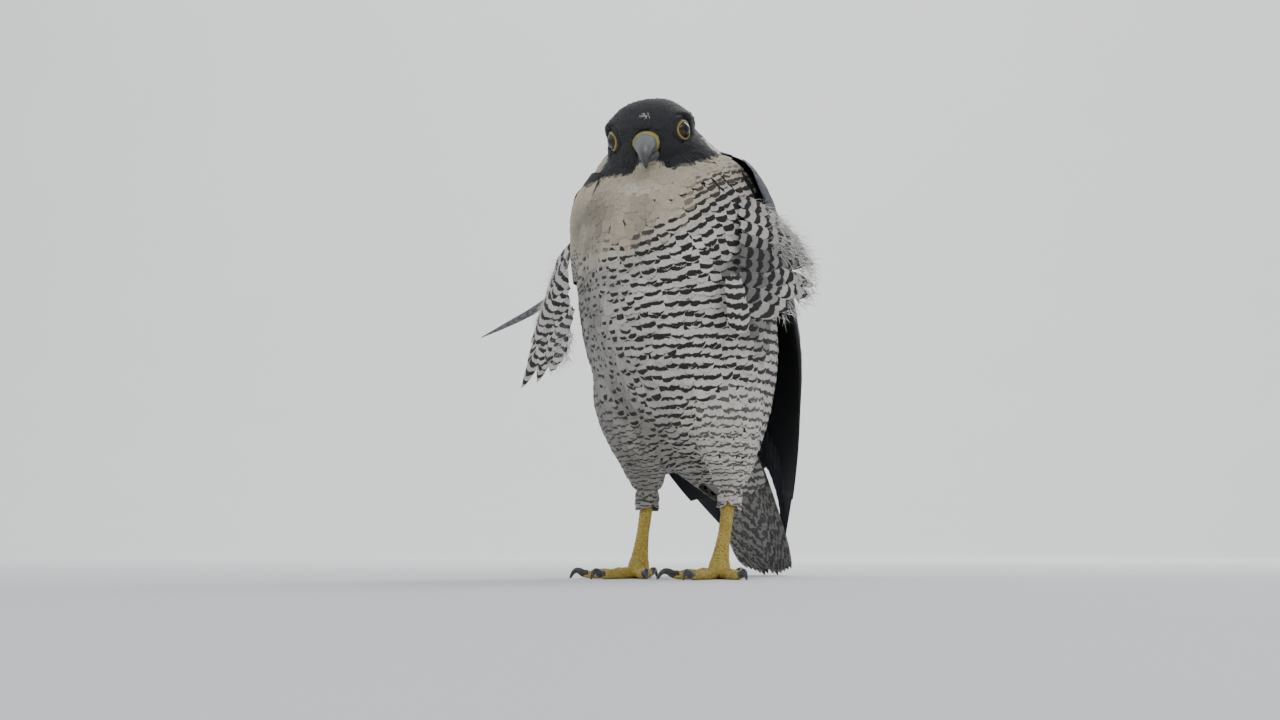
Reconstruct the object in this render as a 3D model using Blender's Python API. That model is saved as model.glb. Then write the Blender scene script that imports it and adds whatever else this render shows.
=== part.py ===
"""A life-size peregrine falcon, standing hunched with its head turned to its left and its flank feathers
blown out.

The bird faces -Y, its left is +X and the floor is z = 0. Sizes are in millimetres until a mesh is made."""

import math

import bmesh
import bpy
import numpy as np
from mathutils import Euler

MM = 0.001
GAP = 0.35
NECK_GAP = 0.7
# Points closer than this are merged after a cut, where that leaves the solid closed.
SLIVERS = (0.05, 0.02, 0.008, 0.003, 0.001)

# Where the bill, eyes and feathers of the head turn about, and how the head is held.
HEAD_CENTRE = (-3.0, -30.0, 271.0)
HEAD_YAW, HEAD_PITCH, HEAD_ROLL = 19.0, 18.0, -7.0

# Trunk, level by level: height, middle in y, half width, depth before and behind the middle.
TRUNK = (
    (50, 60, 3, 3, 3),
    (60, 54, 13, 14, 13),
    (74, 43, 28, 30, 27),
    (92, 29, 42, 43, 39),
    (112, 17, 52, 53, 48),
    (134, 9, 59, 59, 53),
    (158, 4, 62, 62, 55),
    (182, 1, 63, 63, 56),
    (206, -2, 63, 62, 54),
    (226, -4, 62, 57, 51),
    (242, -5, 58, 48, 44),
    (254, -3, 49, 36, 33),
    (262, 0, 36, 22, 22),
    (267, 1, 16, 9, 10),
)
# Neck: middle in x, then the same columns.
NECK = (
    (-2, 234, -14, 42, 34, 38),
    (-4, 243, -16, 44, 33, 40),
    (-5, 251, -19, 43, 26, 40),
    (-5, 259, -20, 37, 17, 37),
    (-4, 268, -20, 30, 8, 32),
    (-3, 276, -18, 24, 3, 25),
)
# Head, from nape to face: place in y, half width, height of crown and of throat from its middle.
HEAD = (
    (30, 2, 2, -2),
    (27, 13, 12, -12),
    (19, 22, 20, -20),
    (8, 26, 23.5, -23),
    (-2, 27, 24, -24),
    (-10, 25, 21.5, -22),
    (-16, 21, 17.5, -19),
    (-21, 15.5, 12.5, -15.5),
    (-24.5, 9.5, 8, -11),
)
# How far the crown's corners and the cheeks stand out past an oval.
HEAD_SQUARE = 0.055
EYE_RADIUS, EYE_PLACE = 7.0, (18.4, -10.6, 3.2)

# Bill: place in y and z of the head, half width and half height.
CERE = ((-20, -1.0, 8.6, 7.6), (-24, -0.6, 8.4, 7.4), (-28, -0.8, 7.6, 6.7))
BILL_UPPER = (
    (-28.4, -0.7, 7.2, 6.3),
    (-33.0, -1.8, 6.1, 5.3),
    (-37.0, -4.6, 4.5, 4.2),
    (-39.6, -8.4, 2.7, 2.9),
    (-40.6, -11.8, 1.4, 1.7),
    (-40.4, -14.4, 0.4, 0.5),
)
BILL_LOWER = ((-20, -7.8, 7.4, 4.0), (-27, -8.4, 6.6, 3.6), (-33, -9.4, 4.8, 2.6), (-36.2, -10.0, 2.0, 1.2))

# Folded wing of the left side: edges from wrist to tip, bulge over the chord between them, and thickness.
WING_FRONT = (
    (44, -13, 257),
    (60, -22, 238),
    (69, -6, 198),
    (71, 26, 146),
    (60, 54, 98),
    (43, 85, 57),
    (17, 127, 17),
)
WING_BACK = (
    (18, 29, 256),
    (13, 49, 224),
    (10, 59, 188),
    (7, 71, 142),
    (5, 88, 100),
    (6, 109, 62),
    (10, 132, 20),
)
WING_BULGE = (8, 14, 18, 19, 14, 8, 1)
WING_THICK = (5, 9, 9, 8, 5, 4, 2)
WING_COVERT_END, WING_SPLIT, SECONDARY_END = 0.5, 0.52, 0.84

TAIL_ROOT, TAIL_TIP = (0, 54, 124), (0, 142, 0.9)
TAIL_HALF_WIDTH = (15, 18, 21, 23, 21)
TAIL_THICK = (7, 5, 4, 3, 2.2)
TAIL_ARCH = 5.0

# Legs, of the left side: the feathered thigh, then the bare shank.
THIGH = (
    (27, 0, 140, 24, 28),
    (29, -1, 116, 26, 30),
    (30, 4, 92, 21, 24),
    (30, 12, 72, 14, 16),
    (29, 14, 56, 7.5, 8.5),
)
SHANK = (
    (29, 14, 57, 4.8),
    (28.6, 11, 42, 4.2),
    (28.4, 6, 26, 4.2),
    (28, 2, 14, 5.4),
    (28, 0, 6, 7.2),
    (28, 0, 0, 6.4),
)
FOOT_CENTRE = (28, 0)
# Each toe: its turn from straight ahead (positive is outwards), its length, and the length of its claw.
TOES = {"inner": (-34, 33, 14), "middle": (3, 46, 13), "outer": (46, 36, 11), "hind": (174, 20, 14)}
TOE_RADIUS = 4.0
TOE_FLAT = 0.9
TOE_ARCH = 0.4

# Blown feathers: each fan has root and tip lines, and a depth of the notches between its tips.
FAN_TEETH, FAN_NOTCH, FAN_THICK = 4, 0.3, 4
FAN_LEFT_ROOT = ((53, -26, 234), (57, -34, 208), (57, -36, 180), (52, -40, 154))
FAN_LEFT_TIP = ((74, -4, 214), (88, 6, 192), (86, 4, 166), (58, -34, 136))
FAN_RIGHT_ROOT = ((-58, -24, 214), (-60, -30, 196), (-61, -28, 178), (-58, -28, 158))
FAN_RIGHT_TIP = ((-86, -10, 188), (-109, -8, 131), (-99, -10, 126), (-85, -14, 132))
PLUME_RIGHT = ((-80, -9, 182, 4.6), (-102, -9, 172, 4.2), (-122, -9, 164, 2.6), (-141, -9, 157, 0.7))

COLOURS = {
    "slate": (0.075, 0.085, 0.105),
    "hood": (0.018, 0.019, 0.024),
    "breast": (0.55, 0.50, 0.42),
    "barred": (0.40, 0.38, 0.36),
    "cere_skin": (0.52, 0.47, 0.12),
    "bill_horn": (0.11, 0.12, 0.14),
    "eye_brown": (0.02, 0.012, 0.008),
    "leg_skin": (0.60, 0.45, 0.08),
    "claw_horn": (0.015, 0.014, 0.014),
}
ROUGHNESS = {"eye_brown": 0.08, "bill_horn": 0.35, "claw_horn": 0.35, "cere_skin": 0.5, "leg_skin": 0.55}


def materials():
    made = {}
    for name, colour in COLOURS.items():
        material = bpy.data.materials.new(name)
        material.use_nodes = True
        shader = material.node_tree.nodes["Principled BSDF"]
        shader.inputs["Base Color"].default_value = (*colour, 1.0)
        shader.inputs["Roughness"].default_value = ROUGHNESS.get(name, 0.85)
        shader.inputs["Metallic"].default_value = 0.0
        made[name] = material
    return made


def smooth(stations, at):
    """Rows read between the stations by a Catmull-Rom curve, for at from 0 at the first to 1 at the last."""
    rows = np.array(stations, float)
    if rows.ndim == 1:
        rows = rows[:, None]
    ends = np.vstack([2 * rows[0] - rows[1], rows, 2 * rows[-1] - rows[-2]])
    place = np.clip(np.asarray(at, float), 0, 1) * (len(rows) - 1)
    first = np.minimum(place.astype(int), len(rows) - 2)
    t = (place - first)[..., None]
    a, b, c, d = (ends[first + k] for k in range(4))
    return 0.5 * (2 * b + (c - a) * t + (2 * a - 5 * b + 4 * c - d) * t**2 + (3 * b - a - 3 * c + d) * t**3)


def mesh_object(name, points, faces, material, smooth_shade=True):
    """One closed mesh from points in millimetres, its faces turned outwards."""
    mesh = bpy.data.meshes.new(name)
    mesh.from_pydata((np.asarray(points) * MM).tolist(), [], faces)
    shape = bmesh.new()
    shape.from_mesh(mesh)
    bmesh.ops.remove_doubles(shape, verts=shape.verts, dist=1e-6)
    bmesh.ops.recalc_face_normals(shape, faces=shape.faces)
    if shape.calc_volume(signed=True) < 0:
        bmesh.ops.reverse_faces(shape, faces=shape.faces)
    shape.to_mesh(mesh)
    shape.free()
    if smooth_shade:
        mesh.shade_smooth()
        mesh.set_sharp_from_angle(angle=math.radians(50))
    mesh.materials.append(material)
    made = bpy.data.objects.new(name, mesh)
    bpy.context.scene.collection.objects.link(made)
    return made


def loft(name, rings, material):
    """A closed solid through a stack of rings, each an array of points, with a fan of faces over each end."""
    rings = np.asarray(rings, float)
    levels, sides = rings.shape[:2]
    points = np.vstack([rings.reshape(-1, 3), rings[0].mean(0), rings[-1].mean(0)])
    low, high = levels * sides, levels * sides + 1
    faces = []
    for i in range(levels - 1):
        for j in range(sides):
            k = (j + 1) % sides
            faces.append((i * sides + j, i * sides + k, (i + 1) * sides + k, (i + 1) * sides + j))
    for j in range(sides):
        k = (j + 1) % sides
        faces.append((low, k, j))
        faces.append((high, (levels - 1) * sides + j, (levels - 1) * sides + k))
    return mesh_object(name, points, faces, material)


def slab(name, middle, thick, material):
    """A closed solid from a grid of points and the thickness at each, laid to both sides of the grid."""
    along = np.gradient(middle, axis=0)
    across = np.gradient(middle, axis=1)
    normal = np.cross(along, across)
    normal /= np.maximum(np.linalg.norm(normal, axis=2, keepdims=True), 1e-9)
    half = np.asarray(thick, float)[..., None] / 2
    upper, lower = middle + normal * half, middle - normal * half
    rows, columns = middle.shape[:2]
    points = np.vstack([upper.reshape(-1, 3), lower.reshape(-1, 3)])
    under = rows * columns
    faces = []
    for i in range(rows - 1):
        for j in range(columns - 1):
            corners = (i * columns + j, i * columns + j + 1, (i + 1) * columns + j + 1, (i + 1) * columns + j)
            faces.append(corners)
            faces.append(tuple(under + c for c in reversed(corners)))
    rim = [j for j in range(columns)]
    rim += [i * columns + columns - 1 for i in range(1, rows)]
    rim += [(rows - 1) * columns + j for j in range(columns - 2, -1, -1)]
    rim += [i * columns for i in range(rows - 2, 0, -1)]
    for a, b in zip(rim, rim[1:] + rim[:1]):
        faces.append((b, a, under + a, under + b))
    return mesh_object(name, points, faces, material)


def tube_rings(path, radii, sides, flat_floor=False, upright=(0, 0, 1), turned=0.0):
    """Round rings square to a path, with a radius sideways and one upwards at each point. Turned moves the
    corners round the ring, by a share of one side."""
    path = np.asarray(path, float)
    forward = np.gradient(path, axis=0)
    forward /= np.linalg.norm(forward, axis=1, keepdims=True)
    side = np.cross(forward, np.array(upright, float))
    side /= np.linalg.norm(side, axis=1, keepdims=True)
    up = np.cross(side, forward)
    angle = (np.arange(sides) + turned) * 2 * np.pi / sides
    radii = np.asarray(radii, float)
    if radii.ndim == 1:
        radii = np.stack([radii, radii], axis=1)
    rings = (
        path[:, None, :]
        + side[:, None, :] * (radii[:, 0, None] * np.cos(angle))[..., None]
        + up[:, None, :] * (radii[:, 1, None] * np.sin(angle))[..., None]
    )
    if flat_floor:
        rings[..., 2] = np.maximum(rings[..., 2], 0.0)
    return rings


def level_rings(stations, levels, sides):
    """Level rings of a body given by its middle in x if that moves, then its height, middle in y, half width,
    depth before and depth behind."""
    rows = smooth(stations, np.linspace(0, 1, levels))
    middle, rows = (rows[:, :1], rows[:, 1:]) if rows.shape[1] == 6 else (0.0, rows)
    angle = np.linspace(0, 2 * np.pi, sides, endpoint=False)
    x = middle + rows[:, 2, None] * np.sin(angle)
    ahead = np.cos(angle) > 0
    depth = np.where(ahead, rows[:, 3, None], rows[:, 4, None])
    y = rows[:, 1, None] - depth * np.cos(angle)
    z = np.broadcast_to(rows[:, 0, None], x.shape)
    return np.stack([x, y, z], axis=2)


def grown(source, gap=GAP):
    """A hidden copy of a solid, its surface moved out by the gap, to cut its neighbours with."""
    graph = bpy.context.evaluated_depsgraph_get()
    mesh = bpy.data.meshes.new_from_object(source.evaluated_get(graph))
    mesh.transform(source.matrix_world)
    normals = np.array([v.normal for v in mesh.vertices])
    for vertex, normal in zip(mesh.vertices, normals):
        vertex.co += type(vertex.co)(normal * gap * MM)
    cutter = bpy.data.objects.new("cut_" + source.name, mesh)
    bpy.context.scene.collection.objects.link(cutter)
    cutter.hide_render = True
    cutter.display_type = "WIRE"
    return cutter


def cut_by(piece, *cutters):
    """Takes each cutter out of the piece and keeps the largest body that is left."""
    for cutter in cutters:
        modifier = piece.modifiers.new("cut", "BOOLEAN")
        modifier.operation = "DIFFERENCE"
        modifier.solver = "MANIFOLD"
        modifier.object = cutter
    bpy.context.view_layer.update()
    graph = bpy.context.evaluated_depsgraph_get()
    mesh = bpy.data.meshes.new_from_object(piece.evaluated_get(graph))
    piece.modifiers.clear()
    piece.data = mesh
    keep_largest(mesh)
    bpy.context.view_layer.update()


def merged(mesh):
    """The mesh in triangles. The slivers that a cut leaves are closed up by the longest distance that keeps
    the mesh closed."""
    for distance in SLIVERS:
        shape = bmesh.new()
        shape.from_mesh(mesh)
        bmesh.ops.triangulate(shape, faces=shape.faces)
        bmesh.ops.remove_doubles(shape, verts=shape.verts, dist=distance * MM)
        bmesh.ops.dissolve_degenerate(shape, dist=distance * MM, edges=shape.edges)
        if all(len(edge.link_faces) == 2 for edge in shape.edges):
            break
    return shape


def keep_largest(mesh):
    """Drops every loose body of the mesh but the one with the most volume."""
    shape = merged(mesh)
    left = set(shape.faces)
    bodies = []
    while left:
        reached, edge = set(), [left.pop()]
        while edge:
            face = edge.pop()
            reached.add(face)
            for side in face.edges:
                for other in side.link_faces:
                    if other in left:
                        left.discard(other)
                        edge.append(other)
        bodies.append(reached)
    if len(bodies) > 1:
        volumes = [volume_of(body) for body in bodies]
        best = volumes.index(max(volumes))
        spare = [f for i, body in enumerate(bodies) if i != best for f in body]
        bmesh.ops.delete(shape, geom=spare, context="FACES")
        loose = [v for v in shape.verts if not v.link_faces]
        bmesh.ops.delete(shape, geom=loose, context="VERTS")
    shape.to_mesh(mesh)
    shape.free()


def volume_of(faces):
    total = 0.0
    for face in faces:
        corners = [v.co for v in face.verts]
        for a, b in zip(corners[1:-1], corners[2:]):
            total += corners[0].dot(a.cross(b))
    return abs(total)


def head_axis():
    """An empty at the middle of the head, turned as the head is, which carries its pieces."""
    axis = bpy.data.objects.new("head_axis", None)
    axis.location = [c * MM for c in HEAD_CENTRE]
    turn = [math.radians(a) for a in (HEAD_PITCH, HEAD_ROLL, HEAD_YAW)]
    axis.rotation_euler = Euler(turn, "YXZ")
    bpy.context.scene.collection.objects.link(axis)
    return axis


def make_head(paint, axis):
    rows = smooth(HEAD, np.linspace(0, 1, 15))
    angle = np.linspace(0, 2 * np.pi, 22, endpoint=False)
    square = 1 + HEAD_SQUARE * np.sin(2 * angle) ** 2
    x = rows[:, 1, None] * np.sin(angle) * square
    height = np.where(np.cos(angle) > 0, rows[:, 2, None], -rows[:, 3, None])
    z = height * np.cos(angle) * square
    y = np.broadcast_to(rows[:, 0, None], x.shape)
    head = loft("head", np.stack([x, y, z], axis=2), paint["hood"])
    head.parent = axis
    eyes = []
    for side, sign in (("left", 1), ("right", -1)):
        ball = bmesh.new()
        bmesh.ops.create_uvsphere(ball, u_segments=12, v_segments=7, radius=EYE_RADIUS * MM)
        mesh = bpy.data.meshes.new("eye_" + side)
        ball.to_mesh(mesh)
        ball.free()
        mesh.shade_smooth()
        mesh.materials.append(paint["eye_brown"])
        eye = bpy.data.objects.new("eye_" + side, mesh)
        bpy.context.scene.collection.objects.link(eye)
        eye.location = (sign * EYE_PLACE[0] * MM, EYE_PLACE[1] * MM, EYE_PLACE[2] * MM)
        eye.parent = axis
        eyes.append(eye)
    bpy.context.view_layer.update()
    return head, eyes


def bill_piece(name, stations, levels, material, axis):
    rows = smooth(stations, np.linspace(0, 1, levels))
    path = np.stack([np.zeros(levels), rows[:, 0], rows[:, 1]], axis=1)
    piece = loft(name, tube_rings(path, rows[:, 2:4], 12), material)
    piece.parent = axis
    return piece


def wing_grid(from_s, to_s, from_t, to_t, rows, columns, sign):
    """Points of the folded wing, s from wrist to tip and t from the front edge to the back edge, and the
    thickness there."""
    s = np.linspace(from_s, to_s, rows)
    t = np.linspace(from_t, to_t, columns)
    front, back = smooth(WING_FRONT, s), smooth(WING_BACK, s)
    bulge = smooth(WING_BULGE, s)[:, 0]
    chord = back - front
    down = np.gradient(smooth(WING_FRONT, s) + smooth(WING_BACK, s), axis=0)
    outward = np.cross(down, chord)
    outward /= np.linalg.norm(outward, axis=1, keepdims=True)
    outward *= np.sign(outward[:, :1] + 1e-9)
    rise = np.sin(np.pi * t) ** 0.8
    points = front[:, None, :] + chord[:, None, :] * t[:, None]
    points = points + outward[:, None, :] * (bulge[:, None] * rise)[..., None]
    points[..., 0] *= sign
    thinning = 0.35 + 0.65 * np.sin(np.pi * np.clip(t, 0.06, 0.94)) ** 0.5
    thick = smooth(WING_THICK, s)[:, 0][:, None] * thinning
    return points, thick


def make_wing(side, sign, paint):
    slit = 0.003
    ranges = (
        ("coverts", 0.0, WING_COVERT_END - slit, 0.0, 1.0, 9, 9),
        ("primaries", WING_COVERT_END, 1.0, 0.0, WING_SPLIT - slit, 9, 5),
        ("secondaries", WING_COVERT_END, SECONDARY_END, WING_SPLIT + slit, 1.0, 6, 5),
    )
    made = []
    for part, s0, s1, t0, t1, rows, columns in ranges:
        points, thick = wing_grid(s0, s1, t0, t1, rows, columns, sign)
        made.append(slab(f"wing_{side}_{part}", points, thick, paint["slate"]))
    return made


def make_tail(paint):
    """The folded tail, a tapering arched blade whose end lies on the floor."""
    s = np.linspace(0, 1, 11)
    t = np.linspace(-1, 1, 9)
    root, tip = np.array(TAIL_ROOT, float), np.array(TAIL_TIP, float)
    half = smooth(TAIL_HALF_WIDTH, s)[:, 0]
    end = np.clip((s - 0.9) / 0.1, 0, 1)
    line = root + (tip - root) * s[:, None]
    points = np.repeat(line[:, None, :], len(t), axis=1)
    points[..., 0] += half[:, None] * t
    up = np.array([0.0, 0.80, 0.60])
    points -= up * (TAIL_ARCH * (t**2)[None, :, None] * (1 - 0.8 * end)[:, None, None])
    thick = np.repeat(smooth(TAIL_THICK, s), len(t), axis=1)
    tail = slab("tail", points, thick, paint["slate"])
    for vertex in tail.data.vertices:
        vertex.co.z = max(vertex.co.z, 0.0)
    return tail


def make_leg(side, sign, paint, cuts):
    rows = smooth(THIGH, np.linspace(0, 1, 9))
    angle = np.linspace(0, 2 * np.pi, 16, endpoint=False)
    ring = np.stack([np.cos(angle), np.sin(angle)], axis=1)
    x = rows[:, 0, None] + rows[:, 3, None] * ring[:, 0]
    y = rows[:, 1, None] + rows[:, 4, None] * ring[:, 1]
    z = np.broadcast_to(rows[:, 2, None], x.shape)
    thigh = loft("thigh_" + side, np.stack([x * sign, y, z], axis=2), paint["barred"])
    cut_by(thigh, *cuts)

    rows = smooth(SHANK, np.linspace(0, 1, 9))
    path = rows[:, :3] * (sign, 1, 1)
    rings = tube_rings(path, rows[:, 3], 10, flat_floor=True, upright=(0, 1, 0))
    rings[-1, :, 2] = 0.0
    shank = loft("shank_" + side, rings, paint["leg_skin"])
    cut_by(shank, grown(thigh))
    made = [thigh, shank]
    cuts = [grown(shank)]
    for toe, (turn, length, claw) in TOES.items():
        body, tip = make_toe(side, sign, toe, math.radians(turn), length, claw, paint, cuts)
        cuts.append(grown(body))
        made += [body, tip]
    return made


def make_toe(side, sign, toe, turn, length, claw_length, paint, cuts):
    """A toe with a pad under each joint, lying on the floor, and a claw that curves down to it."""
    way = np.array([math.sin(turn) * sign, -math.cos(turn), 0.0])
    start = np.array([FOOT_CENTRE[0] * sign, FOOT_CENTRE[1], 0.0])
    steps = 8
    s = np.linspace(0.08, 1, steps)
    radius = TOE_RADIUS * (1.0 - 0.22 * s) * (1 + 0.10 * np.cos(2 * np.pi * s * 3))
    radius[-1] *= 0.6
    height = radius - TOE_FLAT
    height[-1] = 2.6
    path = start + way * (s * length)[:, None]
    path[:, 2] = height + TOE_ARCH * np.sin(np.pi * s)
    radii = np.stack([radius, radius], axis=1)
    rings = tube_rings(path, radii, 8, flat_floor=True, turned=0.5)
    body = loft(f"toe_{side}_{toe}", rings, paint["leg_skin"])
    cut_by(body, *cuts)

    bend = np.linspace(0, 1, 6)
    rise = 2.2 * np.sin(np.pi * np.minimum(bend * 1.25, 1)) ** 1.0
    drop = 3.6 * bend**2.2
    line = path[-1] + way * (claw_length * np.sin(bend * 1.35) / math.sin(1.35) * 0.8)[:, None]
    line[:, 2] = 3.1 + rise - drop
    thick = 2.3 * (1 - bend) ** 0.75 + 0.32
    line[:, 2] = np.maximum(line[:, 2], thick + 0.02)
    claw = loft(f"claw_{side}_{toe}", tube_rings(line, thick, 6, flat_floor=True), paint["claw_horn"])
    cut_by(claw, grown(body))
    return [body, claw]


def make_fan(name, root, tip, paint, cutters):
    """A blown tuft: a sheet from its root line to its tip line, whose far edge runs in and out as feather
    tips."""
    s = np.linspace(0, 1, 5)
    t = np.linspace(0, 1, 4 * FAN_TEETH + 1)
    near, far = smooth(root, t), smooth(tip, t)
    point = np.abs(((t * FAN_TEETH) % 1.0) * 2 - 1)
    reach = 1 - FAN_NOTCH * point**1.3
    out = near[None] + (far - near)[None] * (s[:, None] * reach[None, :])[..., None]
    depth = (FAN_THICK * (1 - s) + 0.8)[:, None] * np.ones(len(t))
    fan = slab(name, out, depth, paint["barred"])
    cut_by(fan, *cutters)
    return fan


def make_plume(name, stations, paint, cutters):
    rows = smooth(stations, np.linspace(0, 1, 8))
    rings = tube_rings(rows[:, :3], np.stack([rows[:, 3] * 0.35, rows[:, 3]], axis=1), 8)
    plume = loft(name, rings, paint["barred"])
    cut_by(plume, *cutters)
    return plume


def stand_on_origin():
    """Moves the whole bird so that the middle of its box's underside is the origin."""
    bpy.context.view_layer.update()
    shown = [o for o in bpy.data.objects if o.type == "MESH" and not o.hide_render]
    corners = np.array([o.matrix_world @ v.co for o in shown for v in o.data.vertices])
    low, high = corners.min(0), corners.max(0)
    shift = ((low[0] + high[0]) / 2, (low[1] + high[1]) / 2, low[2])
    for o in bpy.data.objects:
        if o.parent is None:
            o.location = [a - b for a, b in zip(o.location, shift)]
    bpy.context.view_layer.update()


def main():
    for old in list(bpy.data.objects):
        bpy.data.objects.remove(old)
    paint = materials()
    axis = head_axis()
    head, eyes = make_head(paint, axis)
    cere = bill_piece("cere", CERE, 5, paint["cere_skin"], axis)
    upper = bill_piece("bill_upper", BILL_UPPER, 11, paint["bill_horn"], axis)
    lower = bill_piece("bill_lower", BILL_LOWER, 6, paint["bill_horn"], axis)
    bpy.context.view_layer.update()
    cut_by(head, *[grown(eye) for eye in eyes])
    head_cut = grown(head)
    cut_by(cere, head_cut)
    cut_by(upper, grown(cere))
    cut_by(lower, head_cut, grown(cere), grown(upper))

    neck = loft("neck", level_rings(NECK, 6, 20), paint["breast"])
    cut_by(neck, head_cut, grown(lower))
    trunk = loft("trunk", level_rings(TRUNK, 17, 22), paint["breast"])
    solid_neck = loft("cut_neck_hole", level_rings(NECK, 6, 20), paint["breast"])
    solid_neck.hide_render = True
    solid_neck.display_type = "WIRE"
    cut_by(trunk, grown(solid_neck, NECK_GAP), head_cut)
    trunk_cut, neck_cut = grown(trunk), grown(solid_neck)

    tail = make_tail(paint)
    cut_by(tail, trunk_cut)
    tail_cut = grown(tail)
    wing_cuts = {}
    for side, sign in (("left", 1), ("right", -1)):
        cuts = wing_cuts[side] = []
        for piece in make_wing(side, sign, paint):
            cut_by(piece, neck_cut, trunk_cut, tail_cut, *cuts)
            cuts.append(grown(piece))
        make_leg(side, sign, paint, [trunk_cut, tail_cut, *cuts])
    left, right = [trunk_cut, *wing_cuts["left"]], [trunk_cut, *wing_cuts["right"]]
    make_fan("flank_left", FAN_LEFT_ROOT, FAN_LEFT_TIP, paint, left)
    fan = make_fan("flank_right", FAN_RIGHT_ROOT, FAN_RIGHT_TIP, paint, right)
    make_plume("flank_right_plume", PLUME_RIGHT, paint, [*right, grown(fan)])
    stand_on_origin()


main()
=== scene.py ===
"""A life-size peregrine falcon: one skin, a coat of feathers laid over it, the bare parts, and a plain
studio.

Shapes are worked out in millimetres in the bird's own frame: it faces -Y, its left is +X, its midline is
x = 0 and the floor is z = 0. put_mesh() moves them into the row frame, in metres."""

import math

import bmesh
import bpy
import numpy as np
from mathutils import Euler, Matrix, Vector
from mathutils.bvhtree import BVHTree


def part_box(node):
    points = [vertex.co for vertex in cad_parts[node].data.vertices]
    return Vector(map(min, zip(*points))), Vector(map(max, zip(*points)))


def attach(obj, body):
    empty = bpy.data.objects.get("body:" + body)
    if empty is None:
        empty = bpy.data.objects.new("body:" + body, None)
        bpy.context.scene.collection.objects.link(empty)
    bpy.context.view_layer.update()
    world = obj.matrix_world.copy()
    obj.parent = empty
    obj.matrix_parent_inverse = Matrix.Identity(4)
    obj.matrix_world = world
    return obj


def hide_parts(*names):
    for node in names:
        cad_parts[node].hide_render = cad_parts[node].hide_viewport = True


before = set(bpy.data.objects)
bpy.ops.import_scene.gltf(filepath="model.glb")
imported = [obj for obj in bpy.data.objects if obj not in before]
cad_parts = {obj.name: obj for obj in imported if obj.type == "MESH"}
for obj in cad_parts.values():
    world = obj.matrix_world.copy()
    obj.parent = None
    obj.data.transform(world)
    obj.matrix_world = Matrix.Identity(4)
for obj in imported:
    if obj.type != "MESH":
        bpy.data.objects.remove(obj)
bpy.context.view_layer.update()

MM = 0.001
SIDES = (("left", 1), ("right", -1))
RANDOM = np.random.default_rng(20)

# How the head is held, and where the eyes lie in it.
HEAD_CENTRE = np.array([-3.0, -30.0, 271.0])
HEAD_TURN = np.array(Euler([math.radians(a) for a in (18.0, -7.0, 19.0)], "YXZ").to_matrix())
EYE_PLACE = np.array([18.4, -10.6, 3.2])
EYE_RADIUS, CORNEA_RISE, CORNEA_WIDTH, IRIS_RAYS = 7.0, 0.7, 0.6, 60

# Lids, in degrees from the eye's axis: half the opening, its widening ahead and behind, how much the
# brow flattens it, the breadth of the yellow rim, and where the dark skin starts behind its edge and
# how far it runs.
LID_OPENING, LID_CORNERS, LID_BROW, RIM_BREADTH, DARK_START, DARK_BREADTH = 47, 5, 6.5, 10.5, 8.5, 36

# Bill, in the head's frame: place back, place up, half width, half depth.
CERE = ((-17, -1.4, 8.2, 7.6), (-22, -0.6, 8.0, 7.5), (-26, -0.3, 7.6, 7.0), (-28.6, -0.7, 6.7, 6.0))
BILL_UPPER = (
    (-26.0, -0.7, 7.2, 6.2), (-30.5, -1.0, 6.7, 5.9), (-34.2, -2.6, 5.6, 5.0), (-37.4, -5.2, 4.3, 4.0),
    (-39.6, -8.4, 2.8, 2.9), (-40.6, -11.8, 1.5, 1.7), (-40.3, -14.5, 0.3, 0.4),
)
BILL_LOWER = ((-19, -7.8, 7.2, 3.8), (-26, -8.4, 6.4, 3.5), (-31, -9.2, 5.0, 2.8), (-35.6, -10.2, 2.2, 1.4))

# Folded left wing: edges from wrist to tip, bulge over the chord between them, and thickness.
WING_FRONT = (
    (44, -13, 257), (60, -22, 238), (69, -6, 198), (71, 26, 146), (60, 54, 98), (43, 85, 57), (17, 127, 17),
)
WING_BACK = (
    (18, 29, 256), (13, 49, 224), (10, 59, 188), (7, 71, 142), (5, 88, 100), (6, 109, 62), (10, 132, 20),
)
WING_BULGE = (8, 14, 18, 19, 14, 8, 1)
WING_THICK = (5, 9, 9, 8, 5, 4, 2)

# Margin of the wing's shell beyond its edges, as a share of its breadth. Height of the wrist, how far
# the wing drops from it, and the height below which it stands clear of the body.
WING_MARGIN = 0.12
WRIST_HEIGHT, WING_DROP, WING_CLEAR = 257, 240, 88

TAIL_ROOT, TAIL_TIP = np.array([0.0, 54.0, 124.0]), np.array([0.0, 142.0, 0.9])
TAIL_UP = np.array([0.0, 0.80, 0.60])

# Blown flank feathers: the line of their roots and the line of their tips.
TUFT_LEFT_ROOT = ((53, -26, 234), (57, -34, 208), (57, -36, 180), (52, -40, 154))
TUFT_LEFT_TIP = ((74, -4, 214), (88, 6, 192), (86, 4, 166), (58, -34, 136))
TUFT_RIGHT_ROOT = ((-58, -24, 214), (-60, -30, 196), (-61, -28, 178), (-56, -30, 168), (-50, -36, 166))
TUFT_RIGHT_TIP = ((-86, -10, 188), (-109, -8, 131), (-99, -10, 126), (-83, -16, 131), (-61, -29, 134))
PLUME = ((-72, -12, 186, 2.8), (-102, -9, 172, 2.5), (-122, -9, 164, 1.7), (-141, -9, 157, 0.3))

# How far the sheets of blown feathers run past their line of tips, the pitch of their bars in mm, the
# dark share of it, and how much down keeps to the sheet's own run.
SHEET_REACH, TUFT_PITCH, TUFT_DARK, DOWN_LIE = 1.15, 6.6, 0.44, 0.9

# Foot of the left side, and each toe: its turn from straight ahead, its length and the length of its
# claw.
FOOT_CENTRE = np.array([28.0, 0.0, 0.0])
TOES = {"inner": (-34, 33, 14), "middle": (3, 46, 13), "outer": (46, 36, 11), "hind": (174, 20, 14)}

# Depth of the coat over the skin, on the body and on the face.
COAT_BODY, COAT_FACE = 3.0, 1.1
# Share of its ground colour that the skin under the coat keeps: painted shade where it shows between
# feathers.
SKIN_PAINTED_SHADE = 0.85

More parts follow.
